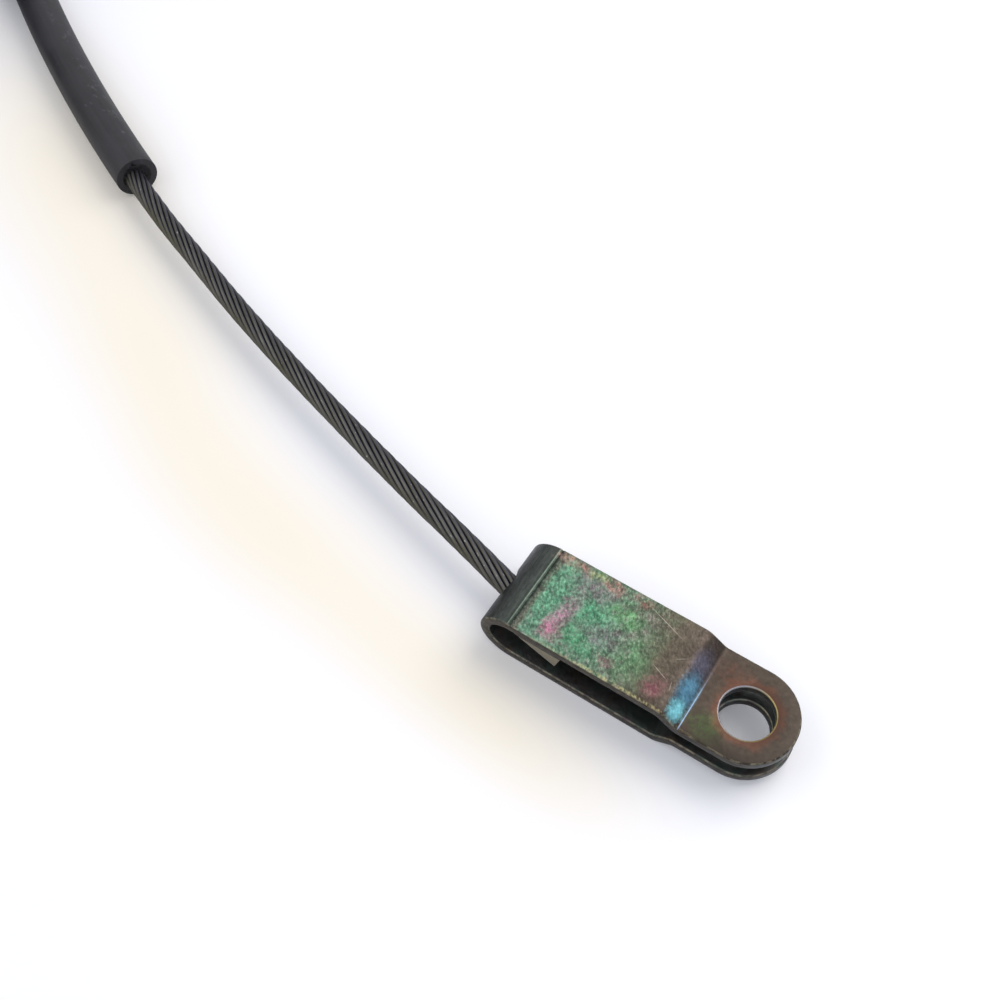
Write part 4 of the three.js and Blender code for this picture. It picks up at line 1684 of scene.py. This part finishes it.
@dataclass
class Studio:
    """The pale table, the soft light and the camera of the picture. Metres."""

    camera_place: tuple[float, float, float] = (0.02879, -0.07947, 0.18224)
    camera_heading: float = math.radians(124.3)
    camera_dip: float = math.radians(57.82)
    camera_roll: float = math.radians(1.2)
    lens: float = 46.8
    sensor: float = 36.0
    table_size: float = 8.0
    table_tone: Colour = colour(236, 236, 238)
    warm_shadow_tone: Colour = colour(230, 218, 190)
    warm_shadows: tuple[WarmShadow, ...] = (
        WarmShadow((-0.150, 0.032), (0.036, 0.016), 0.50),
        WarmShadow((-0.100, 0.004), (0.030, 0.012), 0.50),
        WarmShadow((-0.058, -0.011), (0.026, 0.010), 0.20),
        WarmShadow((-0.016, -0.0175), (0.022, 0.008), 0.12),
    )
    warm_shadow_strength: float = 0.6
    lamps: tuple[Lamp, ...] = (
        Lamp("key", (0.16, 0.36, 0.5), 0.6, 2.4, (1.0, 0.955, 0.9)),
        Lamp("fill", (-0.5, -0.3, 0.6), 0.7, 1.1, (1.0, 0.97, 0.94)),
    )
    lamp_aim: tuple[float, float, float] = (-0.02, 0.01, 0.0)

    def build(self, patch: bpy.types.NodeTree) -> None:
        """Makes the camera, the light and the table.

        Args:
            patch: The soft patch group.
        """
        self.make_camera()
        self.make_light()
        self.make_table(patch)

    def make_camera(self) -> None:
        """Puts the camera where the picture was taken from."""
        data = bpy.data.cameras.new("camera")
        data.lens = self.lens
        data.sensor_width = self.sensor
        data.clip_start = 0.005
        camera = bpy.data.objects.new("camera", data)
        level_reach = math.cos(self.camera_dip)
        forward = Vector((level_reach * math.cos(self.camera_heading),
                          level_reach * math.sin(self.camera_heading), -math.sin(self.camera_dip)))
        level = Vector((math.sin(self.camera_heading), -math.cos(self.camera_heading), 0))
        down = forward.cross(level)
        right = level * math.cos(self.camera_roll) + down * math.sin(self.camera_roll)
        down = forward.cross(right)
        turn = Matrix((right, -down, -forward)).transposed()
        camera.matrix_world = Matrix.Translation(self.camera_place) @ turn.to_4x4()
        bpy.context.scene.collection.objects.link(camera)
        bpy.context.scene.camera = camera

    def make_light(self) -> None:
        """Makes the soft lamps and an even pale surround, which lights more coolly than they do."""
        for lamp in self.lamps:
            data = bpy.data.lights.new(lamp.name, "AREA")
            data.shape = "DISK"
            data.size = lamp.size
            data.energy = lamp.power
            data.color = lamp.tone
            light = bpy.data.objects.new(lamp.name, data)
            aim = Vector(self.lamp_aim) - Vector(lamp.place)
            turn = aim.to_track_quat("-Z", "Y").to_matrix().to_4x4()
            light.matrix_world = Matrix.Translation(lamp.place) @ turn
            bpy.context.scene.collection.objects.link(light)
        world = bpy.data.worlds.new("surround")
        world.use_nodes = True
        bpy.context.scene.world = world
        nodes = Nodes(world.node_tree)
        background = world.node_tree.nodes["Background"]
        height = nodes.split(nodes.add("TexCoord").outputs["Generated"])[2]
        seen = nodes.ramp(nodes.fade(height, -0.1, 1.0, smooth=False),
                          [(0.0, colour(196, 194, 190)), (0.3, colour(226, 226, 226)),
                           (0.7, colour(250, 250, 252))])
        path = nodes.add("LightPath").outputs
        mirrored = nodes.math("MAXIMUM", path["Is Glossy Ray"], path["Is Transmission Ray"])
        tone = nodes.mix(mirrored, colour(203, 208, 220), seen)
        tone = nodes.mix(path["Is Camera Ray"], tone, colour(252, 252, 252))
        nodes.put(background.inputs["Color"], tone)
        background.inputs["Strength"].default_value = 1.0

    def make_table(self, patch: bpy.types.NodeTree) -> None:
        """Makes the pale table, lit a little for the camera so that it stays near white, with the cable's warm
        shadow painted on it.

        Args:
            patch: The soft patch group.
        """
        bm = bmesh.new()
        bmesh.ops.create_grid(bm, x_segments=2, y_segments=2, size=self.table_size / 2)
        bmesh.ops.translate(bm, vec=(0, 0, -0.00005), verts=bm.verts[:])
        finish = Finish("table")
        nodes = finish.nodes
        tone = self.table_tone
        for spot in self.warm_shadows:
            # Painted warm shadow beside the cable.
            warm_shadow_mask = nodes.group(patch, Vector=finish.place(), Centre=(*spot.centre, 0),
                               Half_Size=(*spot.half, 1.0), Turn=spot.turn, Softness=0.98).outputs[0]
            tone = nodes.mix(nodes.product(warm_shadow_mask, self.warm_shadow_strength), tone, self.warm_shadow_tone)
        camera_ray = nodes.add("LightPath").outputs["Is Camera Ray"]
        glow = nodes.mix(camera_ray, (0, 0, 0, 1), tone)
        finish.set(Base_Color=tone, Roughness=0.45, Specular_IOR_Level=0.3, Emission_Color=glow,
                   Emission_Strength=0.16)
        table = finished(bm, "table", finish.material)


def main() -> None:
    """Builds the scene in order: camera and cords first, then the metal pieces and the ties."""
    logging.basicConfig(level=logging.INFO, format="%(message)s")
    bpy.context.scene.view_settings.view_transform = "Standard"
    patch = patch_group()
    grain = grain_group()
    Studio().build(patch)

    route = CableRoute()
    rope = WireRope()
    rope_steel = RopeFinish().material(rope.strands)
    sleeve_zinc = SleeveFinish().material(grain)
    tie_nylon = TieFinish().material(grain)

    near_rope, near_path = rope.build("near_rope_strand", route.near_rope(), rope_steel)
    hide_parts("near_wire")
    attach(near_rope, Body.NEAR_ROPE.value)
    log.info("near rope: %.1f mm", route_length(near_path) / MM)

    tube = Tube()
    sheath, sheath_path = tube.build("sheath_tube", route.tube(), TubeFinish().material())
    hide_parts("near_tube", "coiled_tube", "far_tube")
    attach(sheath, Body.SHEATH.value)
    log.info("tube: %.1f mm", route_length(sheath_path) / MM)

    far_rope, far_path = rope.build("far_rope_strand", route.far_rope(), rope_steel)
    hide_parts("far_wire")
    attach(far_rope, Body.FAR_ROPE.value)
    log.info("far rope: %.1f mm", route_length(far_path) / MM)

    tie_places = {"coil_tie_1": (10, True), "coil_tie_2": (135, True), "coil_tie_3": (262, False)}
    ties = [CableTie(node, math.radians(angle), over_far_tube).build(route, tie_nylon)
            for node, (angle, over_far_tube) in tie_places.items()]
    log.info("ties: %d", len(ties))

    stop_start = route.anchor + route.direction() * route.stop_distance
    stop = Sleeve("end_stop_ball", "end_stop", Body.NEAR_ROPE, stop_profile(route.stop_length))
    stop_piece = stop.build(stop_start, route.direction(), sleeve_zinc)
    log.info("end stop: %s", stop_piece.name)

    nipple = Sleeve("far_nipple_cast", "far_nipple", Body.FAR_ROPE, nipple_profile(route.nipple_length))
    nipple_piece = nipple.build(*route.nipple_place(), sleeve_zinc)
    log.info("nipple: %s", nipple_piece.name)

    clevis = Clevis()
    clevis_piece = clevis.build(PlatingFinish().material(clevis, patch, grain))
    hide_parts("clevis")
    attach(clevis_piece, Body.CLEVIS_END.value)
    log.info("clevis: %d faces", len(clevis_piece.data.polygons))


if __name__ == "__main__":
    main()
